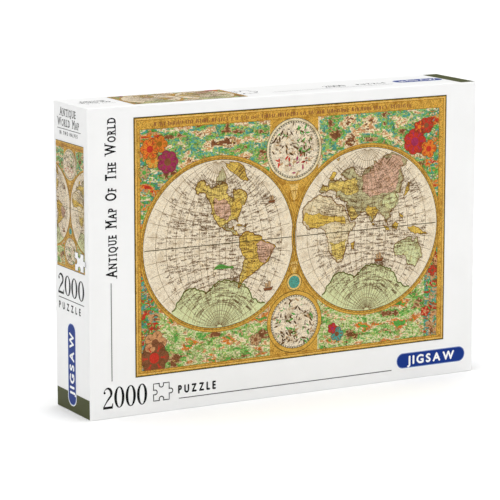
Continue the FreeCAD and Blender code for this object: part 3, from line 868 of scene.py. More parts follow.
@dataclass
class WorldMap:
    """A generic antique map of the world in two halves, framed in gold and green country."""

    low: Point = (46.6, 35.7)
    high: Point = (383.7, 277.1)
    left: Hemisphere = Hemisphere((134.3, 153.0), 79.2, -110.0)
    right: Hemisphere = Hemisphere((294.9, 153.0), 79.2, 70.0)
    ring_width: float = 3.9
    border: float = 6.0
    extra_right: float = 2.0
    foot: float = 5.0
    band_height: float = 11.4
    upper: Point = (214.3, 236.0)
    lower: Point = (214.9, 71.0)
    medallion: float = 30.0
    chart_clearance: float = 27.0
    overlap: float = 4.0
    cell: Point = (1.5, 1.0)
    pen_strokes: int = 5200
    side_leaves: int = 420
    thicket_top: float = 118.0
    wood_foot: float = 186.0
    place_names: int = 1200
    chart_figures: int = 120
    southern_level: float = -50.0
    southern_swell: float = 4.0
    southern_ripple: float = 2.5
    seed: int = 20
    art: Artwork = field(default_factory=Artwork)

    @property
    def inside(self) -> tuple[Point, Point]:
        """The lower left and upper right corner of what the gold border leaves."""
        return ((self.low[0] + self.border, self.low[1] + self.foot),
                (self.high[0] - self.border - self.extra_right, self.high[1] - self.band_height))

    def draw(self) -> Artwork:
        """Draw the whole map."""
        self.ground()
        self.country()
        self.bouquets()
        self.frame_lines()
        for half in (self.left, self.right):
            self.half(half)
        self.medallions()
        self.ornaments()
        self.ships()
        return self.art

    def ground(self) -> None:
        """Gold ground with pale sky above and rolling fields below, all behind the two halves."""
        art = self.art
        art.box(self.low, self.high, Print(Ink.GOLD, 0, 1.0))
        low, high = self.inside
        middle, gap = self.left.centre[1], 26.0
        for u0, u1 in ((low[0], self.upper[0] - gap), (self.upper[0] + gap, high[0])):
            art.box((u0, middle), (u1, high[1]), Print(Ink.CREAM, 1, 1.0))
            art.box((u0, low[1]), (u1, middle), Print(Ink.GREEN_LAND, 1, 1.0))

    def bare(self, place: Point) -> bool:
        """Whether a place of the country stays in sight beside the halves and the charts."""
        near = any(math.dist(place, half.centre) < half.radius - self.overlap
                   for half in (self.left, self.right))
        return not near and abs(place[0] - self.upper[0]) > self.chart_clearance

    def wash(self, place: Point, blur: float) -> Ink:
        """The water-colour at a place of the country: sky and far woods above, fields and rocks below.

        Args:
            place: The place on the sheet.
            blur: How far the choice is nudged along the inks.

        Returns:
            The ink.
        """
        u, v = place
        upper = v > self.left.centre[1]
        wide = noise.noise(Vector((u / 19, v / 9, 3.0 if upper else 11.0)))
        fine = noise.noise(Vector((u / 5, v / 2.6, 30.0)))
        value = 0.5 + 0.75 * wide + 0.34 * fine + blur
        corner = min(u - self.low[0], self.high[0] - u) < 24
        if upper:
            inks = ((Ink.RED, Ink.ORANGE, Ink.EARTH, Ink.LEAF, Ink.TEAL, Ink.CREAM, Ink.LEAF_LIGHT, Ink.LEAF)
                    if corner else
                    (Ink.BARK, Ink.ROCK, Ink.LEAF, Ink.LEAF_LIGHT, Ink.TEAL, Ink.LEAF_LIGHT, Ink.CREAM,
                     Ink.EARTH, Ink.CREAM, Ink.BARK))
        else:
            inks = ((Ink.BARK, Ink.EARTH, Ink.ROCK, Ink.TEAL, Ink.LEAF, Ink.RED, Ink.BARK, Ink.EARTH)
                    if corner else
                    (Ink.BARK, Ink.ROCK, Ink.LEAF, Ink.LEAF_LIGHT, Ink.GREEN_LAND, Ink.LEAF_LIGHT, Ink.CREAM,
                     Ink.EARTH, Ink.ORANGE, Ink.LEAF))
        return inks[max(0, min(len(inks) - 1, int(value * len(inks))))]

    def country(self) -> None:
        """Hills, hedges, rocks and trees round the halves: a wash in small cells under pen work."""
        draw = random.Random(self.seed)
        (u_low, v_low), (u_high, v_high) = self.inside
        across, up = self.cell
        columns, rows = round((u_high - u_low) / across), round((v_high - v_low) / up)
        knots = {}
        for i in range(columns + 1):
            for j in range(rows + 1):
                knots[i, j] = (u_low + (u_high - u_low) * i / columns + draw.uniform(-0.4, 0.4),
                               v_low + (v_high - v_low) * j / rows + draw.uniform(-0.3, 0.3))
        for i in range(columns):
            for j in range(rows):
                if self.bare(knots[i, j]):
                    self.art.tile((knots[i, j], knots[i + 1, j], knots[i + 1, j + 1], knots[i, j + 1]),
                                  Print(self.wash(knots[i, j], draw.uniform(-0.05, 0.05)), 2, 0.8))
        for _ in range(self.pen_strokes):
            place = (draw.uniform(u_low + 1, u_high - 1), draw.uniform(v_low + 1, v_high - 1))
            if not self.bare(place):
                continue
            flow = 3.0 * noise.noise(Vector((place[0] / 14, place[1] / 10, 50.0)))
            reach, bend = draw.uniform(1.2, 4.2), draw.uniform(-0.25, 0.25)
            path = [(place[0] + reach * t * math.cos(flow + bend * t),
                     place[1] + reach * t * math.sin(flow + bend * t)) for t in (0.0, 0.4, 0.8, 1.0)]
            ink = draw.choice((Ink.BARK, Ink.COAST, Ink.COAST, Ink.OLIVE_LINE, Ink.CREAM, Ink.YELLOW_LAND))
            self.art.line(path, [0.12, 0.44, 0.44, 0.12], Print(ink, 3, 0.3))
        for _ in range(self.side_leaves):
            side = draw.choice((-1, 1))
            place = ((u_low if side < 0 else u_high) - side * (2 + abs(draw.gauss(0, 9.0))),
                     draw.choice((draw.uniform(v_low + 2, self.thicket_top),
                                  draw.uniform(self.wood_foot, v_high - 3))))
            if self.bare(place):
                greens = ((Ink.LEAF, Ink.BARK, Ink.TEAL, Ink.EARTH) if place[1] < self.thicket_top else
                          (Ink.LEAF, Ink.LEAF_LIGHT, Ink.TEAL, Ink.ORANGE))
                self.leaf(place, draw.uniform(2, 5), draw.uniform(0, 360),
                          Print(draw.choice(greens), 3, 0.8))

    def leaf(self, stem: Point, length: float, turn: float, ink: Print) -> None:
        """A pointed leaf growing from its stem.

        Args:
            stem: Where it grows from.
            length: How long it is.
            turn: Its direction in degrees.
            ink: How it is printed.
        """
        angle = math.radians(turn)
        shape = ((0, 0), (0.3, 0.17), (0.7, 0.13), (1, 0), (0.7, -0.13), (0.3, -0.17))
        self.art.area([(stem[0] + (x * math.cos(angle) - y * math.sin(angle)) * length,
                        stem[1] + (x * math.sin(angle) + y * math.cos(angle)) * length)
                       for x, y in shape], ink)

    def bloom(self, centre: Point, size: float, petals: int, ink: Ink, heart: Ink) -> None:
        """A flower or a gourd: overlapping petals with darker folds round a heart.

        Args:
            centre: Its middle.
            size: Its half width.
            petals: How many petals it has.
            ink: The petals' ink.
            heart: The heart's and the folds' ink.
        """
        for i in range(petals):
            angle = 360 * i / petals
            u = centre[0] + size * 0.5 * math.cos(math.radians(angle))
            v = centre[1] + size * 0.5 * math.sin(math.radians(angle))
            self.art.area(arc_path((u, v), (size * 0.42, size * 0.42), angle, angle + 345, 14),
                          Print(ink, 4 + i % 2, 0.7))
            self.art.line(arc_path((u, v), (size * 0.41, size * 0.41), angle - 100, angle + 100, 10),
                          0.4, Print(Ink.COAST, 6, 0.2))
            for fold in (-24, 0, 24):
                way = math.radians(angle + fold)
                ray = [(u + size * reach * math.cos(way), v + size * reach * math.sin(way))
                       for reach in (-0.1, 0.14, 0.36)]
                self.art.line(ray, [0.7, 0.5, 0.1], Print(heart, 6, 0.2))
        self.art.disc(centre, size * 0.3, Print(heart, 6, 0.6), 16)

    def bouquets(self) -> None:
        """Fruit and flowers hanging in the upper corners, and bright touches in the lower ones."""
        draw = random.Random(self.seed + 1)
        for centre, size, petals, ink, heart in (
                ((63, 247), 11, 6, Ink.ORANGE, Ink.RED), ((73, 251), 9, 5, Ink.ORANGE, Ink.GOLD_DARK),
                ((66, 236), 8, 6, Ink.GOLD, Ink.ORANGE), ((81, 234), 12, 7, Ink.MAGENTA, Ink.BARK),
                ((57, 226), 7, 5, Ink.ROCK, Ink.LEAF), ((348, 234), 14, 7, Ink.RED, Ink.MAGENTA),
                ((361, 249), 9, 6, Ink.RED, Ink.BARK), ((364, 226), 10, 5, Ink.ORANGE, Ink.RED),
                ((353, 248), 7, 5, Ink.RED, Ink.ORANGE), ((370, 106), 6, 4, Ink.RED, Ink.BARK),
                ((362, 66), 6, 5, Ink.RED, Ink.EARTH), ((67, 66), 13, 5, Ink.EARTH, Ink.BARK),
                ((66, 52), 17, 6, Ink.BARK, Ink.RED), ((262, 54), 8, 5, Ink.TEAL, Ink.BARK),
                ((257, 60), 6, 5, Ink.RED, Ink.MAGENTA), ((173, 58), 7, 5, Ink.ROCK, Ink.BARK)):
            self.bloom(centre, size, petals, ink, heart)
            for _ in range(9):
                self.leaf(centre, size * draw.uniform(0.7, 1.0), draw.uniform(0, 360),
                          Print(draw.choice((Ink.LEAF, Ink.LEAF_LIGHT, Ink.TEAL)), 3, 0.8))

    def frame_lines(self) -> None:
        """The outer rule, the gold border over the scenery's edges, and the title band."""
        art, (u0, v0), (u1, v1) = self.art, self.low, self.high
        (left, foot), (right, top) = self.inside
        for low, high in (((u0, v0), (u1, foot)), ((u0, v0), (left, v1)), ((right, v0), (u1, v1)),
                          ((u0, top), (u1, v1))):
            art.box(low, high, Print(Ink.GOLD, 6, 1.0))
        for inset, width, ink in ((0.0, 1.1, Ink.OLIVE_LINE), (2.0, 0.5, Ink.GOLD_LIGHT),
                                  (3.2, 0.4, Ink.GOLD_DARK)):
            art.frame((u0 + inset, v0 + inset), (u1 - inset, v1 - inset), width, Print(ink, 7))
        self.art.writing((u0 + 18, v1 - 9.2), (u1 - 40, v1 - 9.2), 4.0, Print(Ink.BARK, 8), 1)
        art.frame(*self.inside, 0.45, Print(Ink.GOLD_DARK, 8))

    def half(self, half: Hemisphere) -> None:
        """One half of the globe in its gold ring."""
        art = self.art
        art.ring(half.centre, half.radius, half.radius + self.ring_width, Print(Ink.GOLD, 5, 0.8))
        art.disc(half.centre, half.radius, Print(Ink.SEA, 5, 0.55), 120)
        for outset, width, ink in ((self.ring_width, 0.4, Ink.GOLD_DARK), (1.7, 0.35, Ink.OLIVE_LINE),
                                   (0.0, 0.5, Ink.OLIVE_LINE)):
            middle = half.radius + outset
            art.ring(half.centre, middle - width / 2, middle + width / 2, Print(ink, 9), 120)
        for i in range(120):
            art.line(arc_path(half.centre, (half.radius + 0.85,) * 2, 3 * i, 3 * i + 1.3, 1), 0.7,
                     Print(Ink.GOLD_DARK, 9))
        self.lands(half)
        self.graticule(half)
        self.names(half)

    def lands(self, half: Hemisphere) -> None:
        """Coasts and countries, each washed in its own tint."""
        countries = (
            (AMERICA_NORTH, Ink.YELLOW_LAND, 6), (AMERICA_PINK, Ink.PINK_LAND, 7),
            (AMERICA_EAST, Ink.OCHRE_LAND, 7), (AMERICA_MIDDLE, Ink.GREY_LAND, 7),
            (AMERICA_SOUTH, Ink.OCHRE_LAND, 6), (BRAZIL, Ink.PINK_LAND, 7), (CHILE, Ink.YELLOW_LAND, 7),
            (GREENLAND, Ink.OCHRE_LAND, 6), (ARCTIC_WEST, Ink.GREY_LAND, 6), (AFRICA, Ink.CREAM, 6),
            (AFRICA_YELLOW, Ink.OCHRE_LAND, 7), (AFRICA_SOUTH, Ink.YELLOW_LAND, 7),
            (EURASIA, Ink.GREY_LAND, 6), (EUROPE, Ink.YELLOW_LAND, 7), (TARTARY, Ink.PINK_LAND, 7),
            (CHINA, Ink.GREEN_LAND, 7), (INDIA, Ink.OCHRE_LAND, 7), (ARABIA, Ink.YELLOW_LAND, 7),
            (AUSTRALIA, Ink.GREEN_LAND, 6),
            *((island, Ink.OCHRE_LAND, 6) for island in ISLANDS))
        for seed, (outline, ink, level) in enumerate(countries):
            if not half.holds(outline):
                continue
            shore = [half.place(*place) for place in rugged(outline, self.seed + seed)]
            self.art.area(shore, Print(ink, level, 0.8))
            self.art.line(shore, 0.55 if level == 6 else 0.3, Print(Ink.COAST, 8, 0.4), closed=True)
            if level == 6:
                for inset in (0.985, 0.97):
                    middle = [sum(p[k] for p in shore) / len(shore) for k in (0, 1)]
                    self.art.line([tuple(m + (p - m) * inset for p, m in zip(point, middle))
                                   for point in shore], 0.25, Print(Ink.GOLD_DARK, 8, 0.8), closed=True)
        self.southern_land(half)

    def southern_land(self, half: Hemisphere) -> None:
        """The great southern land of old maps, its coast raised and lowered by two slow waves."""
        coast = [(half.middle + turn,
                  self.southern_level + self.southern_swell * math.sin(math.radians(4 * turn))
                  + self.southern_ripple * math.cos(math.radians(7 * turn))) for turn in range(-88, 90, 8)]
        shore = [half.place(*place) for place in rugged(coast, self.seed + 77, closed=False)]
        angles = [math.degrees(math.atan2(p[1] - half.centre[1], p[0] - half.centre[0])) for p in
                  (shore[-1], shore[0])]
        last = angles[1] - 360 if angles[1] > angles[0] else angles[1]
        rim = arc_path(half.centre, (half.radius, half.radius), angles[0], last, 60)
        self.art.area(shore + rim, Print(Ink.GREEN_LAND, 6, 0.45))
        self.art.line(shore, 1.3, Print(Ink.GREEN_COAST, 8, 0.6))
        self.art.line(shore, 0.35, Print(Ink.COAST, 9, 0.2))

    def graticule(self, half: Hemisphere) -> None:
        """Meridians and parallels every ten degrees, and the fan of fine ones round the south pole."""
        fine = Print(Ink.SEA_LINE, 9, 0.6)
        for step in range(-80, 90, 10):
            meridian = [half.place(half.middle + step, latitude) for latitude in range(-88, 90, 8)]
            self.art.line(meridian, 0.34, fine)
            parallel = [half.place(half.middle + turn, step) for turn in range(-88, 90, 8)]
            self.art.line(parallel, 0.34, fine)
        self.art.line([half.place(half.middle + turn, 0) for turn in (-89, 0, 89)], 0.7,
                      Print(Ink.OLIVE_LINE, 10))
        pole = (half.centre[0], half.centre[1] - half.radius)
        for radius in (10, 16, 22, 24.5, 30, 35):
            self.inside_arc(half, pole, radius)
        for turn in range(8, 176, 8):
            angle = math.radians(turn)
            self.art.line([(pole[0] + reach * math.cos(angle), pole[1] + max(0.4, reach * math.sin(angle)))
                           for reach in (3, 24)], 0.22, Print(Ink.COAST, 9, 0.6))

    def inside_arc(self, half: Hemisphere, pole: Point, radius: float) -> None:
        """The part of a circle round the pole that lies on the half."""
        inside = [point for point in arc_path(pole, (radius, radius), 2, 178, 40)
                  if math.dist(point, half.centre) < half.radius - 0.6]
        if len(inside) > 1:
            self.art.line(inside, 0.26, Print(Ink.COAST, 9, 0.5))

    def names(self, half: Hemisphere) -> None:
        """Place names, legends and soundings, in fine strokes that follow the parallels."""
        draw = random.Random(self.seed + int(half.middle))
        ink = Print(Ink.WRITING, 10, 0.4)
        for count in range(self.place_names):
            longitude = half.middle + draw.uniform(-80, 80)
            latitude = draw.uniform(-72, 74)
            start = half.place(longitude, latitude)
            if math.dist(start, half.centre) > half.radius - 7:
                continue
            end = half.place(longitude + 4, latitude)
            reach = draw.uniform(2.2, 6.5)
            size = math.dist(start, end) or 1.0
            end = (start[0] + (end[0] - start[0]) / size * reach,
                   start[1] + (end[1] - start[1]) / size * reach)
            self.art.writing(start, end, draw.uniform(1.0, 1.5), ink, count)
        for u, v, lines in ((-48, 24, 4), (-52, -18, 3), (8, 6, 3), (44, 40, 4), (38, -8, 5), (-34, -46, 3),
                            (6, -34, 4), (-8, 58, 3)):
            for i in range(lines):
                start = (half.centre[0] + u, half.centre[1] + v - 2.1 * i)
                self.art.writing(start, (start[0] + 15, start[1]), 1.25, ink, int(u) * 7 + i)

    def medallions(self) -> None:
        """The two round star charts between the halves."""
        draw = random.Random(self.seed + 5)
        for centre, ring, inner in ((self.upper, Ink.CREAM, 27.0), (self.lower, Ink.GOLD, 25.7)):
            art = self.art
            art.disc(centre, self.medallion, Print(ring, 9, 0.7))
            art.disc(centre, inner, Print(Ink.SEA, 10, 0.7))
            for radius, width in ((self.medallion - 0.3, 0.5), (inner, 0.5), (inner - 1.6, 0.3)):
                art.ring(centre, radius - width / 2, radius + width / 2, Print(Ink.OLIVE_LINE, 11))
            for i in range(60):
                art.line(arc_path(centre, (inner - 0.8,) * 2, 6 * i, 6 * i + 3, 1), 0.8,
                         Print(Ink.OLIVE_LINE, 11))
            for _ in range(self.chart_figures):
                angle, reach = draw.uniform(0, 6.283), (inner - 4) * math.sqrt(draw.random())
                u, v = centre[0] + reach * math.cos(angle), centre[1] + reach * math.sin(angle)
                warm = centre is self.upper and v < centre[1] - 6
                ink = draw.choice((Ink.RED, Ink.MAGENTA, Ink.ROCK) if warm else
                                  (Ink.WRITING, Ink.COAST, Ink.LEAF, Ink.ROCK, Ink.WRITING))
                self.leaf((u, v), draw.uniform(2.0, 6.4), draw.uniform(0, 360), Print(ink, 11, 0.4))
                self.art.writing((u, v), (u + draw.uniform(1, 4), v + draw.uniform(-1, 1)), 1.4,
                             Print(Ink.WRITING, 11, 0.3), int(u * 10))

    def ornaments(self) -> None:
        """Scrollwork in the gold between the rings, and the compass star above the lower chart."""
        for centre, height in (((214.4, 194.0), 9), ((214.6, 123.0), 6)):
            for side in (-1, 1):
                curl = [(centre[0] + side * (1 + 0.022 * a) * math.cos(math.radians(a)),
                         centre[1] + (1 + 0.022 * a) * math.sin(math.radians(a))) for a in
                        range(0, 330, 22)]
                self.art.line(curl, 0.7, Print(Ink.GOLD_DARK, 8, 0.3))
            self.art.area([(centre[0] - 5, centre[1] + height), (centre[0], centre[1] - height),
                           (centre[0] + 5, centre[1] + height)], Print(Ink.GOLD_LIGHT, 7, 0.8))
        centre = (214.6, 109.4)
        self.art.disc(centre, 8.0, Print(Ink.GOLD_LIGHT, 9, 0.6))
        self.art.disc(centre, 6.0, Print(Ink.TEAL, 10, 0.6))
        self.art.ring(centre, 7.6, 8.1, Print(Ink.OLIVE_LINE, 11))
        reaches = (6.6, 2.2)
        star = [(centre[0] + reaches[i % 2] * math.cos(math.radians(22.5 * i)),
                 centre[1] + reaches[i % 2] * math.sin(math.radians(22.5 * i))) for i in range(16)]
        self.art.line(star, 0.4, Print(Ink.OLIVE_LINE, 11), closed=True)

    def ships(self) -> None:
        """Small ships and a sea beast in the open water."""
        hull = ((-4, 0), (-3, -2), (3, -2), (4.6, 1), (2, 0))
        sails = (((-2.4, 0.4), (-2.2, 4), (-0.2, 3.4), (-0.3, 0.4)), ((0.2, 0.4), (0.4, 5.4), (2.4, 4.4),
                                                                     (2.2, 0.4)))
        for (u, v), scale in (((190.0, 189.5), 0.95), ((186.0, 106.5), 1.25), ((308.0, 123.0), 1.25)):
            for shape, ink in ((hull, Ink.BARK), *((sail, Ink.ROCK) for sail in sails)):
                outline = [(u + x * scale, v + y * scale) for x, y in shape]
                self.art.area(outline, Print(ink, 11, 0.5))
                self.art.line(outline, 0.35, Print(Ink.COAST, 12), closed=True)
        back = [(128 + 22 * t, 129 + 2.4 * math.sin(math.pi * t) + 0.8 * math.sin(7 * t)) for t in
                (i / 10 for i in range(11))]
        self.art.line(back, [0.4, 2, 3.4, 4, 4, 3.6, 3, 2.2, 1.4, 2.6, 0.4], Print(Ink.LEAF, 11, 0.7))
        self.art.line(back, 0.35, Print(Ink.COAST, 12))


# ------------------------------------------------------------ lettering

# The knobs of every jigsaw piece drawn as a sign: lower, right, upper, left
SIGN_KNOBS = (-1, 1, -1, -1)


@dataclass
class Lettering:
    """The generic words, numerals, icon and badge that the box's faces share."""

    title: str = "ANTIQUE MAP OF THE WORLD"
    noun: str = "PUZZLE"
    count: str = "2000"
    badge_word: str = "JIGSAW"

    def numeral(self, art: Artwork, digit: str, low: Point, size: Point, ink: Print) -> None:
        """A serif 0 or 2 with thick and thin strokes, in a box from low, size wide and high.

        Args:
            art: The design.
            digit: The digit.
            low: The box's lower left corner.
            size: Its width and height.
            ink: How it is printed.
        """
        (u, v), (width, height) = low, size
        if digit == "0":
            centre = (u + width / 2, v + height / 2)
            outer = arc_path(centre, (width / 2, height / 2), 0, 360, 44)[:-1]
            inner = arc_path(centre, (width * 0.245, height * 0.455), 0, 360, 44)[:-1]
            for i in range(44):
                j = (i + 1) % 44
                art.area([outer[i], outer[j], inner[j], inner[i]], ink)
            return
        bowl = arc_path((u + width * 0.47, v + height * 0.72), (width * 0.36, height * 0.25), 165, -28, 16)
        foot = (u + width * 0.08, v + height * 0.09)
        knee = bowl[-1]
        sweep = [(knee[0] + (foot[0] - knee[0]) * t - width * 0.05 * math.sin(math.pi * t),
                  knee[1] + (foot[1] - knee[1]) * t) for t in (0.25, 0.5, 0.75, 1.0)]
        thick = [0.07 + 0.16 * max(0.0, math.sin((i - 3) / 15 * math.pi / 1.15)) for i in range(17)]
        art.line(bowl + sweep, [width * w for w in thick + [0.17, 0.13, 0.1, 0.08]], ink)
        art.disc((bowl[0][0] + width * 0.06, bowl[0][1] - height * 0.015), width * 0.1, ink, 20)
        art.area([(u + width * 0.03, v), (u + width * 0.95, v), (u + width, v + height * 0.24),
                  (u + width * 0.93, v + height * 0.24), (u + width * 0.86, v + height * 0.115),
                  (u + width * 0.03, v + height * 0.115)], ink)

    def number(self, art: Artwork, low: Point, length: float, height: float, ink: Print) -> None:
        """The piece count in serif numerals, set to a length."""
        pitch = length / len(self.count)
        for i, digit in enumerate(self.count):
            self.numeral(art, digit, (low[0] + pitch * i, low[1]), (pitch * 0.9, height), ink)

    def heading(self, art: Artwork, text: str, place: Point, height: float, stretch: float,
                spacing: float = 0.26) -> None:
        """A line of the small serif title that the narrow faces carry."""
        art.words(text, place, height, Print(Ink.GREY_TEXT, 1), stretch, spacing, False, 1.2, 0.03, True)

    def icon(self, art: Artwork, centre: Point, side: float, ink: Print, width: float) -> None:
        """A jigsaw piece in outline."""
        outline = piece_outline(centre, (side, side), SIGN_KNOBS, (side * 0.14, side * 0.09), 10)
        art.line(outline, width, ink, closed=True)

    def badge(self, art: Artwork, low: Point, high: Point, upright: bool = False) -> None:
        """A plain blue label with a generic word.

        Args:
            art: The design.
            low: Its lower left corner.
            high: Its upper right corner.
            upright: Whether its word climbs.
        """
        for outset, radius, ink, level in ((1.2, 8.2, Ink.WHITE, 3), (0.3, 7.3, Ink.BLUE_EDGE, 4),
                                           (-0.4, 6.7, Ink.BLUE_BADGE, 5)):
            art.rounded_box((low[0] - outset, low[1] - outset), (high[0] + outset, high[1] + outset), radius,
                            Print(ink, level))
        long, short = (high[1] - low[1], high[0] - low[0]) if upright else (high[0] - low[0],
                                                                           high[1] - low[1])
        height, stretch, air = short * 0.54, 1.05, 0.42
        white = Print(Ink.WHITE, 6)
        length = Artwork().words(self.badge_word, (0, 0), height, white, stretch, air)
        fit = min(1.0, 0.8 * long / length)
        height, length = height * fit, length * fit
        offset = ((long - length) / 2, (short - height) / 2)
        start = (high[0] - offset[1], low[1] + offset[0]) if upright else (low[0] + offset[0],
                                                                          low[1] + offset[1])
        art.words(self.badge_word, start, height, white, stretch, air, upright, bold=0.06)


# ------------------------------------------------------------------ box

@dataclass
class PrintedBox:
    """The closed box: finishes for its boards, papers and tapes, and the print on each face."""

    letters: Lettering = field(default_factory=Lettering)
    trays: tuple[str, str] = (BODY_LID, BODY_BASE)
    corner_count: int = 4
    title_height: float = 7.8
    title_air: float = 0.27
    title_initials: float = 1.36

    def __post_init__(self) -> None:
        """Read the box's size from the frame, and draw the map once for every face."""
        self.low, self.high = span("lid_wrap")
        self.width = self.high.x - self.low.x
        self.height = self.high.z - self.low.z
        self.depth = self.high.y - self.low.y
        self.world = WorldMap()
        self.map = self.world.draw()
        self.print = LithoPrint("coated_paper_offset_print", 0.42).make()

    def dress_boards(self) -> None:
        """Give the trays' CAD pieces their finishes."""
        wrap = WrapPaper("coated_wrap_paper", 0.42).make()
        board = Greyboard("raw_greyboard", 0.9).make()
        tape = KraftTape("gummed_kraft_tape", 0.6).make()
        for tray in self.trays:
            dress(f"{tray}_wrap", wrap)
            dress(f"{tray}_board", board)
            for corner in range(1, self.corner_count + 1):
                dress(f"{tray}_corner_stay_{corner}", tape)

    def face(self, corner: tuple[float, float, float], right: tuple[int, int, int],
             up: tuple[int, int, int]) -> Face:
        """A face of the lid from its lower left corner and its directions."""
        across, rise = Vector(right), Vector(up)
        return Face(Vector(corner), across, rise, across.cross(rise))

    def print_front(self) -> None:
        """The front: the map, the upright title, the count, the icon, the noun and the badge."""
        art, letters = Artwork(), self.letters
        black, grey = Print(Ink.BLACK, 1), Print(Ink.RULE, 1)
        face = self.face((self.low.x, self.low.y, self.low.z), (1, 0, 0), (0, 0, 1))
        face.mesh(self.map, "lid_front_map", BODY_LID, "lid_print", self.print)
        art.words(letters.title, (28.4, 132.0), self.title_height, black, self.title_stretch(146.0),
                  self.title_air, True, self.title_initials, 0.035, serifs=True)
        art.line([(22.6, 35.0), (22.6, 126.6)], 0.9, grey)
        letters.number(art, (13.0, 9.4), 46.6, 20.0, black)
        letters.icon(art, (73.2, 19.4), 16.2, black, 1.0)
        art.words(letters.noun, (91.0, 15.8), 7.2, black, 0.7, 0.46, bold=0.06)
        art.line([(91.4, 10.9), (324.3, 10.9)], 0.9, grey)
        letters.badge(art, (330.2, 11.6), (408.6, 26.2))
        face.mesh(art, "lid_front_lettering", BODY_LID, "lid_print", self.print)

    def title_stretch(self, length: float) -> float:
        """How wide the front title's letters are, for the line to come out this long."""
        least, most = 0.5, 1.0
        narrow, wide = (Artwork().words(self.letters.title, (0, 0), self.title_height, Print(Ink.BLACK, 1),
                                        stretch, self.title_air, False, self.title_initials)
                        for stretch in (least, most))
        return least + (most - least) * (length - narrow) / (wide - narrow)

    def print_ends(self) -> None:
        """The two short ends: title, strip of the map, count, noun, upright badge and olive foot."""
        for name, right, corner in (
                ("left", (0, -1, 0), (self.low.x, self.high.y, self.low.z)),
                ("right", (0, 1, 0), (self.high.x, self.low.y, self.low.z))):
            face = self.face(corner, right, (0, 0, 1))
            face.mesh(self.end_art(), f"lid_{name}_end_print", BODY_LID, "lid_print", self.print)

    def end_art(self) -> Artwork:
        """The design of a short end."""
        art, letters = Artwork(), self.letters
        grey, black = Print(Ink.GREY_TEXT, 1), Print(Ink.BLACK, 1)
        letters.heading(art, "ANTIQUE", (14.0, 276.0), 6.4, 0.66)
        letters.heading(art, "WORLD MAP", (9.0, 266.6), 6.0, 0.64)
        art.line([(8.0, 264.0), (58.0, 264.0)], 0.6, grey)
        art.words("IN TWO HALVES", (13.0, 258.6), 3.2, grey, 0.7, 0.4, bold=0.05)
        scale = 117.4 / (self.world.high[1] - self.world.low[1])
        half = 59.2 / scale / 2
        centre = self.world.upper[0]
        art.paste(self.map, (centre - half, self.world.low[1]), (centre + half, self.world.high[1]), scale,
                  (4.4, 135.0), lift=1)
        patch = piece_outline((52.6, 145.0), (18.0, 17.0), SIGN_KNOBS, (2.7, 1.8), 10)
        art.area(patch, Print(Ink.WHITE, 16))
        art.line(patch, 0.5, Print(Ink.RULE, 17), closed=True)
        letters.number(art, (5.0, 109.0), 58.0, 19.0, black)
        art.line([(6.0, 105.6), (61.0, 105.6)], 0.8, grey)
        art.words(letters.noun, (7.0, 95.2), 6.2, black, 0.8, 0.78, bold=0.05)
        art.box((0.9, 0.9), (self.depth - 0.6, 19.0), Print(Ink.OLIVE_BAND, 2))
        letters.badge(art, (25.4, 7.6), (41.4, 84.0), upright=True)
        return art

    def long_art(self) -> Artwork:
        """The design of a long side, from its left end to its right."""
        art, letters = Artwork(), self.letters
        grey, black = Print(Ink.GREY_TEXT, 1), Print(Ink.BLACK, 1)
        letters.heading(art, "ANTIQUE", (14.0, 42.0), 5.0, 0.62)
        letters.heading(art, "WORLD MAP", (11.0, 34.0), 4.8, 0.55, 0.2)
        art.words("IN TWO HALVES", (13.0, 27.0), 2.6, grey, 0.7, 0.35)
        scale = 118.0 / (self.world.high[0] - self.world.low[0])
        half = 57.0 / scale / 2
        middle = 156.0
        art.paste(self.map, (self.world.low[0], middle - half), (self.world.high[0], middle + half), scale,
                  (51.0, 7.0), lift=1)
        letters.icon(art, (178.0, 35.0), 22.0, black, 0.9)
        letters.number(art, (266.0, 29.0), 24.0, 11.0, black)
        art.words(letters.noun, (303.0, 31.0), 6.0, black, 0.7, 0.42, bold=0.05)
        art.line([(204.0, 23.0), (337.0, 23.0)], 0.8, grey)
        art.box((401.0, 0.9), (self.width - 0.9, self.depth - 0.6), Print(Ink.OLIVE_BAND, 2))
        letters.badge(art, (346.0, 27.0), (399.0, 43.0))
        return art

    def print_long_sides(self) -> None:
        """The top and bottom long sides, which carry the same design."""
        for name, up, corner in (("top", (0, 1, 0), (self.low.x, self.low.y, self.high.z)),
                                 ("bottom", (0, -1, 0), (self.low.x, self.high.y, self.low.z))):
            face = self.face(corner, (1, 0, 0), up)
            # The box stands on this side, so its print lies almost flush
            if name == "bottom":
                face = replace(face, proud=0.01, step=0.004)
            face.mesh(self.long_art(), f"lid_{name}_side_print", BODY_LID, "lid_print", self.print)

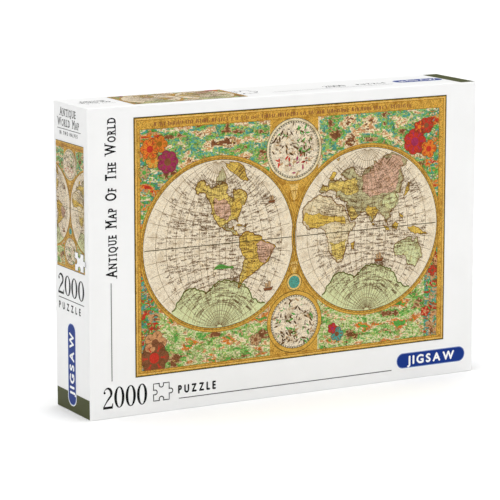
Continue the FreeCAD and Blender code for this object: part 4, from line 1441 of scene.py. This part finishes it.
    def print_back(self) -> None:
        """The base's back: a reduced map, the count, small print and a plain stock code."""
        art, letters = Artwork(), self.letters
        low, high = span("base_wrap")
        face = self.face((high.x, high.y, low.z), (-1, 0, 0), (0, 0, 1))
        width = high.x - low.x
        grey, black = Print(Ink.GREY_TEXT, 1), Print(Ink.BLACK, 1)
        art.box((1.2, 1.2), (width - 1.2, 22.0), Print(Ink.OLIVE_BAND, 1))
        scale = 196.0 / (self.world.high[0] - self.world.low[0])
        art.paste(self.map, self.world.low, self.world.high, scale, (26.0, 112.0), lift=1)
        letters.number(art, (250.0, 218.0), 78.0, 32.0, black)
        letters.icon(art, (352.0, 233.0), 24.0, black, 0.9)
        art.words(letters.noun, (250.0, 199.0), 10.0, black, 0.8, 0.6)
        art.line([(250.0, 192.0), (386.0, 192.0)], 0.6, grey)
        for row, words in enumerate(("FINISHED PICTURE 97 X 67 CM", "ONE BAG OF CUT PIECES",
                                     "KEEP THE LID FOR REFERENCE")):
            art.words(words, (250.0, 178.0 - 10.0 * row), 4.4, grey, 0.8, 0.34)
        art.words(letters.title, (26.0, 92.0), 7.0, black, 0.8, 0.3, False, 1.25, 0.02, True)
        for row in range(5):
            level = 80.0 - 7.0 * row
            art.writing((26.0, level), (176.0 - 22.0 * (row % 3), level), 3.0, grey, row)
        self.bars(art, (318.0, 40.0), 62.0, 30.0)
        face.mesh(art, "base_back_print", BODY_BASE, "base_print", self.print)

    def bars(self, art: Artwork, low: Point, length: float, height: float) -> None:
        """A stock code's upright bars, of no real number.

        Args:
            art: The design.
            low: The bars' lower left corner.
            length: How far they run.
            height: How tall they are.
        """
        draw = random.Random(11)
        place = 0.0
        while place < length:
            bar = draw.choice((0.5, 0.5, 1.0, 1.5))
            art.box((low[0] + place, low[1]), (low[0] + place + bar, low[1] + height), Print(Ink.BLACK, 1))
            place += bar + draw.choice((0.5, 0.8, 1.2))


@dataclass
class PieceBag:
    """The sealed bag: clear film with wrinkles and air holes, and the loose die-cut pieces in it."""

    length: float = 19.5
    width: float = 16.7
    board: float = 1.9
    knob: Point = (2.5, 1.7)
    count: int = 2000
    column_pitch: float = 23.2
    row_pitch: float = 20.6
    layer_pitch: float = 2.2
    layer_shift: float = 5.5
    piece_reach: float = 11.0
    wall_gap: float = 4.0
    tilt: float = 0.05
    jitter: float = 0.6
    seed: int = 5
    slope: float = 62.0
    weld: float = 6.0
    seam_inset: float = 2.0
    floor_radius: float = 12.0
    back_radius: float = 6.0
    sag: float = 5.0
    end_radius: float = 13.0
    fold: float = 2.2
    film: float = 0.12
    hole_radius: float = 3.0
    hole_places: tuple[Point, ...] = ((-90.0, 24.0), (90.0, 24.0))
    grid: float = 3.6

    def __post_init__(self) -> None:
        """Read the bag's outer box from the frame."""
        self.low, self.high = span("piece_bag")
        self.shoulder = self.high.z - self.slope

    def front_at(self, z: float) -> float:
        """Where the bag's front film stands at a height."""
        if z <= self.shoulder:
            return self.low.y
        share = (z - self.shoulder) / (self.slope - self.weld)
        return self.low.y + (self.high.y - self.seam_inset - self.low.y) * min(1.0, share)

    def template(self, knobs: Sequence[int], name: str) -> bpy.types.Object:
        """One flat piece about the origin, its picture side towards -Y.

        Args:
            knobs: +1, -1 or 0 for each side, as piece_outline takes them.
            name: The piece's name.

        Returns:
            The piece.
        """
        outline = piece_outline((0.0, 0.0), (self.length, self.width), knobs, self.knob, 4)
        count, half = len(outline), self.board / 2
        points = [(u * MM, side * half * MM, v * MM) for side in (-1, 1) for u, v in outline]
        faces = [tuple(range(count)), tuple(range(2 * count - 1, count - 1, -1))]
        faces += [(i, i + count, (i + 1) % count + count, (i + 1) % count) for i in range(count)]
        mesh = bpy.data.meshes.new(name)
        mesh.from_pydata(points, [], faces)
        printed = mesh.attributes.new("printed", "FLOAT", "CORNER")
        printed.data.foreach_set("value", [1.0] * count + [0.0] * (len(mesh.loops) - count))
        return link(name, mesh)

    def places(self) -> list[Vector]:
        """Where the pieces' middles come, layer on layer from the front, in metres."""
        found: list[Vector] = []
        reach = self.wall_gap + self.piece_reach
        for layer in range(60):
            y = self.low.y + self.wall_gap + 1.0 + self.layer_pitch * layer
            if y > self.high.y - self.wall_gap:
                break
            shift = (layer % 3 - 1) * self.layer_shift
            top = self.shoulder + 4.0 + (y - self.low.y) * 0.42
            row = 0
            while (z := self.low.z + reach + 2.0 + self.row_pitch * row + (layer % 2) * 4.0) < top:
                x = self.low.x + reach + 4.0 + (row % 2) * 6.0 + shift + self.layer_shift
                while x < self.high.x - reach - 4.0:
                    if self.front_at(z + 8.0) + 3.0 < y:
                        found.append(Vector((x, y, z)) * MM)
                    x += self.column_pitch
                row += 1
        return found[:self.count]

    def scatter_tree(self, templates: Sequence[bpy.types.Object],
                     material: bpy.types.Material) -> bpy.types.NodeTree:
        """The tree that sets a cut piece on every point, each with its own turn, tilt and tint.

        Args:
            templates: The cuts to choose from.
            material: The pieces' finish.

        Returns:
            The tree, with inputs for the tilt, the jitter and the seed.
        """
        tree = bpy.data.node_groups.new("loose_pieces", "GeometryNodeTree")
        sockets = tree.interface
        sockets.new_socket("Points", in_out="INPUT", socket_type="NodeSocketGeometry")
        for name, kind, value in (("Tilt", "NodeSocketFloat", self.tilt), ("Jitter", "NodeSocketFloat", 0.0),
                                  ("Seed", "NodeSocketInt", 0)):
            sockets.new_socket(name, in_out="INPUT", socket_type=kind).default_value = value
        sockets.new_socket("Pieces", in_out="OUTPUT", socket_type="NodeSocketGeometry")
        given = add(tree, "NodeGroupInput").outputs
        seeds = [add(tree, "ShaderNodeMath", {0: given["Seed"], 1: float(i)}, operation="ADD").outputs[0]
                 for i in range(6)]

        def chance(low: bpy.types.NodeSocket | float, high: bpy.types.NodeSocket | float,
                   seed: int) -> bpy.types.NodeSocket:
            """A random number for each point."""
            made = add(tree, "FunctionNodeRandomValue", {2: low, 3: high, 8: seeds[seed]},
                       data_type="FLOAT")
            return made.outputs[1]

        def scaled(value: bpy.types.NodeSocket, by: bpy.types.NodeSocket | float,
                   operation: str = "MULTIPLY") -> bpy.types.NodeSocket:
            """A number worked out from two."""
            return add(tree, "ShaderNodeMath", {0: value, 1: by}, operation=operation).outputs[0]

        cuts = add(tree, "GeometryNodeJoinGeometry")
        for template in templates:
            info = add(tree, "GeometryNodeObjectInfo", {"Object": template, "As Instance": True})
            tree.links.new(info.outputs["Geometry"], cuts.inputs[0])
        quarter = scaled(scaled(chance(0.0, 4.0, 0), 0.0, "FLOOR"), math.pi / 2)
        turn = scaled(quarter, scaled(chance(-1.0, 1.0, 1), 0.12), "ADD")
        over = scaled(scaled(chance(0.0, 1.55, 2), 0.0, "FLOOR"), math.pi)
        lean_x = scaled(chance(-1.0, 1.0, 3), given["Tilt"])
        lean_z = scaled(scaled(chance(-1.0, 1.0, 4), given["Tilt"]), over, "ADD")
        euler = add(tree, "ShaderNodeCombineXYZ", {"X": lean_x, "Y": turn, "Z": lean_z})
        moved = add(tree, "GeometryNodeSetPosition", {"Geometry": given["Points"], "Offset": add(
            tree, "ShaderNodeCombineXYZ", {"X": scaled(chance(-1.0, 1.0, 5), given["Jitter"]),
                                           "Z": scaled(chance(-1.0, 1.0, 1), given["Jitter"])}).outputs[0]})
        set_down = add(tree, "GeometryNodeInstanceOnPoints", {
            "Points": moved.outputs[0], "Instance": cuts.outputs[0], "Pick Instance": True,
            "Rotation": euler.outputs[0]})
        tinted = add(tree, "GeometryNodeStoreNamedAttribute", {
            "Geometry": set_down.outputs[0], "Name": "tint", "Value": chance(0.0, 1.0, 3)},
            data_type="FLOAT", domain="INSTANCE")
        real = add(tree, "GeometryNodeRealizeInstances", {"Geometry": tinted.outputs[0]})
        dressed = add(tree, "GeometryNodeSetMaterial", {"Geometry": real.outputs[0], "Material": material})
        add(tree, "NodeGroupOutput", {"Pieces": dressed.outputs[0]})
        return tree

    def pour_pieces(self) -> bpy.types.Object:
        """The loose pieces, lying in rough layers as they settle in a bag that stands on edge."""
        cuts = ((1, -1, 1, -1), (-1, 1, 1, -1), (1, 1, -1, -1), (-1, -1, -1, 1))
        templates = [self.template(knobs, f"cut_{i}") for i, knobs in enumerate(cuts)]
        material = PuzzleBoard("die_cut_puzzle_board", 0.5).make()
        tree = self.scatter_tree(templates, material)
        places = self.places()
        mesh = bpy.data.meshes.new("piece_places")
        mesh.from_pydata(places, [], [])
        holder = link("piece_places", mesh)
        modifier = holder.modifiers.new("loose_pieces", "NODES")
        modifier.node_group = tree
        identifiers = {item.name: item.identifier for item in tree.interface.items_tree
                       if item.in_out == "INPUT"}
        modifier[identifiers["Tilt"]] = self.tilt
        modifier[identifiers["Jitter"]] = self.jitter * MM
        modifier[identifiers["Seed"]] = self.seed
        bpy.context.view_layer.update()
        shown = holder.evaluated_get(bpy.context.evaluated_depsgraph_get())
        baked = bpy.data.meshes.new_from_object(shown)
        baked.name = "loose_puzzle_pieces"
        holder.modifiers.clear()
        for spare in (holder, *templates):
            bpy.data.objects.remove(spare)
        LOG.info("%d loose pieces", len(places))
        pieces = link("loose_puzzle_pieces", baked)
        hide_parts("puzzle_pile", "puzzle_pieces")
        return declare(pieces, BODY_BAG)

    def section(self) -> Path:
        """The film's section as depth and height: round at the floor, sloping up to the flat weld."""
        back = self.high.y
        seam = back - self.seam_inset
        foot = self.high.z - self.weld
        front_round, back_round = self.floor_radius, self.back_radius
        corners = arc_path((self.low.y + front_round, self.low.z + front_round), (front_round,) * 2,
                           180, 270, 8)
        corners += arc_path((back - back_round, self.low.z + back_round), (back_round,) * 2, 270, 360, 6)
        corners += [(back, self.shoulder), (back - 0.4, foot - 12.0), (seam + 0.3, foot),
                    (seam + 0.3, self.high.z), (seam - 0.3, self.high.z), (seam - 0.3, foot)]
        for i in range(1, 8):
            share = i / 8
            z = foot + (self.shoulder + 16.0 - foot) * share
            corners.append((self.front_at(z) + self.sag * math.sin(math.pi * share), z))
        corners += [(self.low.y + 3.2, self.shoulder + 3.0), (self.low.y, self.shoulder - 12.0)]
        ring: Path = []
        for i, (y, z) in enumerate(corners):
            after = corners[(i + 1) % len(corners)]
            steps = max(1, round(math.dist((y, z), after) / self.grid))
            ring += [(y + (after[0] - y) * k / steps, z + (after[1] - z) * k / steps) for k in range(steps)]
        return ring

    def film_point(self, x: float, y: float, z: float) -> Vector:
        """A point of the film: narrowed at the bag's ends, and creased inwards.

        Args:
            x: Its place along the bag.
            y: Its depth in the plain section.
            z: Its height in the plain section.

        Returns:
            The point in metres.
        """
        above = max(0.0, min(1.0, (z - self.shoulder) / (self.slope - self.weld)))
        middle = (self.low.y + self.high.y) / 2 * (1 - above) + (self.high.y - self.seam_inset) * above
        past = max(0.0, abs(x) - (self.high.x - self.end_radius)) / self.end_radius
        share = max(0.03, math.sqrt(max(0.0, 1 - past ** 2)))
        lift = 7.0 * (1 - share) * max(0.0, 1 - (z - self.low.z) / 60.0)
        crease = 0.5 + 0.5 * noise.fractal(Vector((x / 15, z / (70 - 40 * above), y / 30)), 1.0, 2.0, 3)
        bumps = 0.5 + 0.5 * noise.noise(Vector((x / 9, z / 8, y / 9 + 5)))
        weld = max(0.0, min(1.0, (self.high.z - self.weld - z) / 8.0))
        depth = (self.fold * (0.35 + 1.5 * above) * crease + 0.9 * bumps * (1 - above)) * weld
        inward = max(-1.0, min(1.0, (middle - y) / 14.0))
        y = middle + (y - middle) * share + inward * max(0.0, min(3.4, depth)) * share
        y += 0.35 * math.sin(x / 1.6) * (1 - weld) * min(1.0, share * 2)
        return Vector((x, y, z + lift)) * MM

    def wrap_film(self) -> bpy.types.Object:
        """The film: one skin lofted along the bag, open only at its two air holes."""
        ring = self.section()
        steps = round((self.high.x - self.low.x) / self.grid)
        mesh = bmesh.new()
        rows = []
        for i in range(steps + 1):
            x = self.low.x + (self.high.x - self.low.x) * i / steps
            rows.append([mesh.verts.new(self.film_point(x, y, z)) for y, z in ring])
        count = len(ring)
        for before, after in zip(rows, rows[1:]):
            for k in range(count):
                mesh.faces.new((before[k], before[(k + 1) % count], after[(k + 1) % count], after[k]))
        bmesh.ops.holes_fill(mesh, edges=[e for e in mesh.edges if e.is_boundary], sides=0)
        bmesh.ops.recalc_face_normals(mesh, faces=mesh.faces)
        for x, drop in self.hole_places:
            self.punch(mesh, x, self.high.z - drop)
        body = bpy.data.meshes.new("bag_film_skin")
        mesh.to_mesh(body)
        mesh.free()
        holder = link("bag_film_skin", body)
        wall = holder.modifiers.new("film_thickness", "SOLIDIFY")
        wall.thickness, wall.offset = self.film * MM, -1.0
        bpy.context.view_layer.update()
        shown = holder.evaluated_get(bpy.context.evaluated_depsgraph_get())
        baked = bpy.data.meshes.new_from_object(shown)
        baked.name = "bag_film"
        bpy.data.objects.remove(holder)
        baked.materials.clear()
        baked.materials.append(PolytheneFilm("clear_polythene_film", 0.16).make())
        baked.polygons.foreach_set("use_smooth", [True] * len(baked.polygons))
        film = link("bag_film", baked)
        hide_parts("piece_bag")
        return declare(film, BODY_BAG)

    def punch(self, mesh: bmesh.types.BMesh, x: float, z: float) -> None:
        """Punch a round air hole through the front film, round the point nearest to a place.

        Args:
            mesh: The film's skin.
            x: The place along the bag.
            z: Its height.
        """
        target = Vector((x, self.front_at(z), z)) * MM
        front = [v for v in mesh.verts if v.co.y < (self.high.y - 4.0) * MM]
        nearest = min(front, key=lambda v: (v.co.x - target.x) ** 2 + (v.co.z - target.z) ** 2)
        centre = nearest.co.copy()
        around = {v for face in nearest.link_faces for v in face.verts} - {nearest}
        normal = nearest.normal.copy()
        bmesh.ops.delete(mesh, geom=[nearest], context="VERTS")
        for vertex in around:
            away = vertex.co - centre
            away -= normal * away.dot(normal)
            if away.length:
                vertex.co = centre + away.normalized() * self.hole_radius * MM


@dataclass
class Leaflet:
    """The folded instruction leaflet: plain paper with generic line drawings on its front leaf."""

    margin: float = 14.0
    steps: int = 3
    step_pitch: float = 64.0

    def dress(self) -> None:
        """Give the CAD sheet its paper."""
        dress("leaflet", WrapPaper("uncoated_leaflet_paper", 0.7, "#f7f5ee", "#efece2").make())

    def print_front(self) -> None:
        """Three framed steps that show one, two and three pieces, a heading and small print."""
        low, high = span("leaflet")
        face = Face(Vector((low.x, low.y, low.z)), Vector((1, 0, 0)), Vector((0, 0, 1)), Vector((0, -1, 0)),
                    0.02, 0.01)
        art = Artwork()
        black, grey = Print(Ink.BLACK, 1), Print(Ink.GREY_TEXT, 1)
        art.words("HOW TO START YOUR PUZZLE", (self.margin, 126.0), 7.0, black, 0.7, 0.3, False, 1.2, 0.04)
        art.frame((self.margin, 119.0), (196.0, 119.8), 0.39, grey)
        for step in range(self.steps):
            left = self.margin + self.step_pitch * step
            art.frame((left, 62.0), (left + 54.0, 108.0), 0.6, grey)
            for i in range(step + 1):
                centre = (left + 27.0 + (i - step / 2) * 15.0, 85.0)
                outline = piece_outline(centre, (11.6, 11.6), SIGN_KNOBS, (1.6, 1.1), 8)
                art.line(outline, 0.5, black, closed=True)
            for row in range(3):
                art.writing((left, 52.0 - 6.0 * row), (left + 50.0 - 8.0 * row, 52.0 - 6.0 * row), 2.4, grey,
                            step * 3 + row)
        for row in range(3):
            level = 26.0 - 6.0 * row
            art.writing((self.margin, level), (190.0 - 20.0 * row, level), 2.4, grey, 40 + row)
        material = LithoPrint("uncoated_paper_offset_print", 0.6).make()
        face.mesh(art, "leaflet_front_print", BODY_LEAFLET, "leaflet_paper", material)


def dress(node: str, material: bpy.types.Material) -> None:
    """Give a CAD node one finish all over."""
    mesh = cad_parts[node].data
    mesh.materials.clear()
    mesh.materials.append(material)
    LOG.info("%s: dressed in %s", node, material.name)


# --------------------------------------------------------------- studio

@dataclass
class Studio:
    """A white floor, one softbox under wide overhead light, and the camera."""

    camera_place: tuple[float, float, float] = (-1.197, -2.127, 0.594)
    turn: float = 28.915
    dip: float = 10.659
    focal_length: float = 187.2
    sensor: float = 36.0
    floor_size: float = 60.0
    key_place: tuple[float, float, float] = (1.1, -2.7, 1.7)
    key_aim: tuple[float, float, float] = (0.0, 0.0, 0.14)
    key_size: float = 1.6
    key_power: float = 12.0
    overhead: float = 3.1
    horizon: float = 0.2

    def build(self) -> None:
        """Make all of it."""
        self.place_camera()
        self.lay_floor()
        self.hang_key()
        self.fill_world()

    def place_camera(self) -> None:
        """A long lens, a little above the box and to its left."""
        data = bpy.data.cameras.new("camera")
        data.lens, data.sensor_width = self.focal_length, self.sensor
        camera = bpy.data.objects.new("camera", data)
        camera.location = self.camera_place
        camera.rotation_euler = (math.radians(90 - self.dip), 0.0, math.radians(-self.turn))
        bpy.context.scene.collection.objects.link(camera)
        bpy.context.scene.camera = camera

    def lay_floor(self) -> None:
        """A large sheet of white paper under everything."""
        half = self.floor_size / 2
        mesh = bpy.data.meshes.new("studio_floor")
        mesh.from_pydata([(-half, -half, 0), (half, -half, 0), (half, half, 0), (-half, half, 0)], [],
                         [(0, 1, 2, 3)])
        mesh.materials.append(StudioPaper("white_backdrop_paper", 0.9).make())
        link("studio_floor", mesh)

    def hang_key(self) -> None:
        """A square softbox that faces the middle of the box."""
        data = bpy.data.lights.new("key_softbox", "AREA")
        data.size, data.energy = self.key_size, self.key_power
        lamp = bpy.data.objects.new("key_softbox", data)
        lamp.location = self.key_place
        towards = Vector(self.key_aim) - Vector(self.key_place)
        lamp.rotation_euler = towards.to_track_quat("-Z", "Y").to_euler()
        bpy.context.scene.collection.objects.link(lamp)

    def fill_world(self) -> None:
        """White light from a wide silk overhead, falling off towards the horizon."""
        world = bpy.data.worlds.new("studio")
        world.use_nodes = True
        tree = world.node_tree
        height = add(tree, "ShaderNodeSeparateXYZ", {0: add(tree, "ShaderNodeTexCoord").outputs["Generated"]})
        rise = add(tree, "ShaderNodeMath", {0: height.outputs["Z"], 1: 0.0}, operation="MAXIMUM")
        steep = add(tree, "ShaderNodeMath", {0: rise.outputs[0], 1: 4.0}, operation="POWER")
        strength = add(tree, "ShaderNodeMapRange", {"Value": steep.outputs[0], "To Min": self.horizon,
                                                    "To Max": self.overhead})
        shade = tree.nodes["Background"]
        shade.inputs["Color"].default_value = (1.0, 1.0, 1.0, 1.0)
        tree.links.new(strength.outputs["Result"], shade.inputs["Strength"])
        bpy.context.scene.world = world
        bpy.context.scene.view_settings.view_transform = "Standard"


def main() -> None:
    """Build the studio, the box and what is in it."""
    Studio().build()
    box = PrintedBox()
    box.dress_boards()
    box.print_front()
    box.print_ends()
    box.print_long_sides()
    box.print_back()
    bag = PieceBag()
    bag.pour_pieces()
    bag.wrap_film()
    leaflet = Leaflet()
    leaflet.dress()
    leaflet.print_front()


if __name__ == "__main__":
    main()
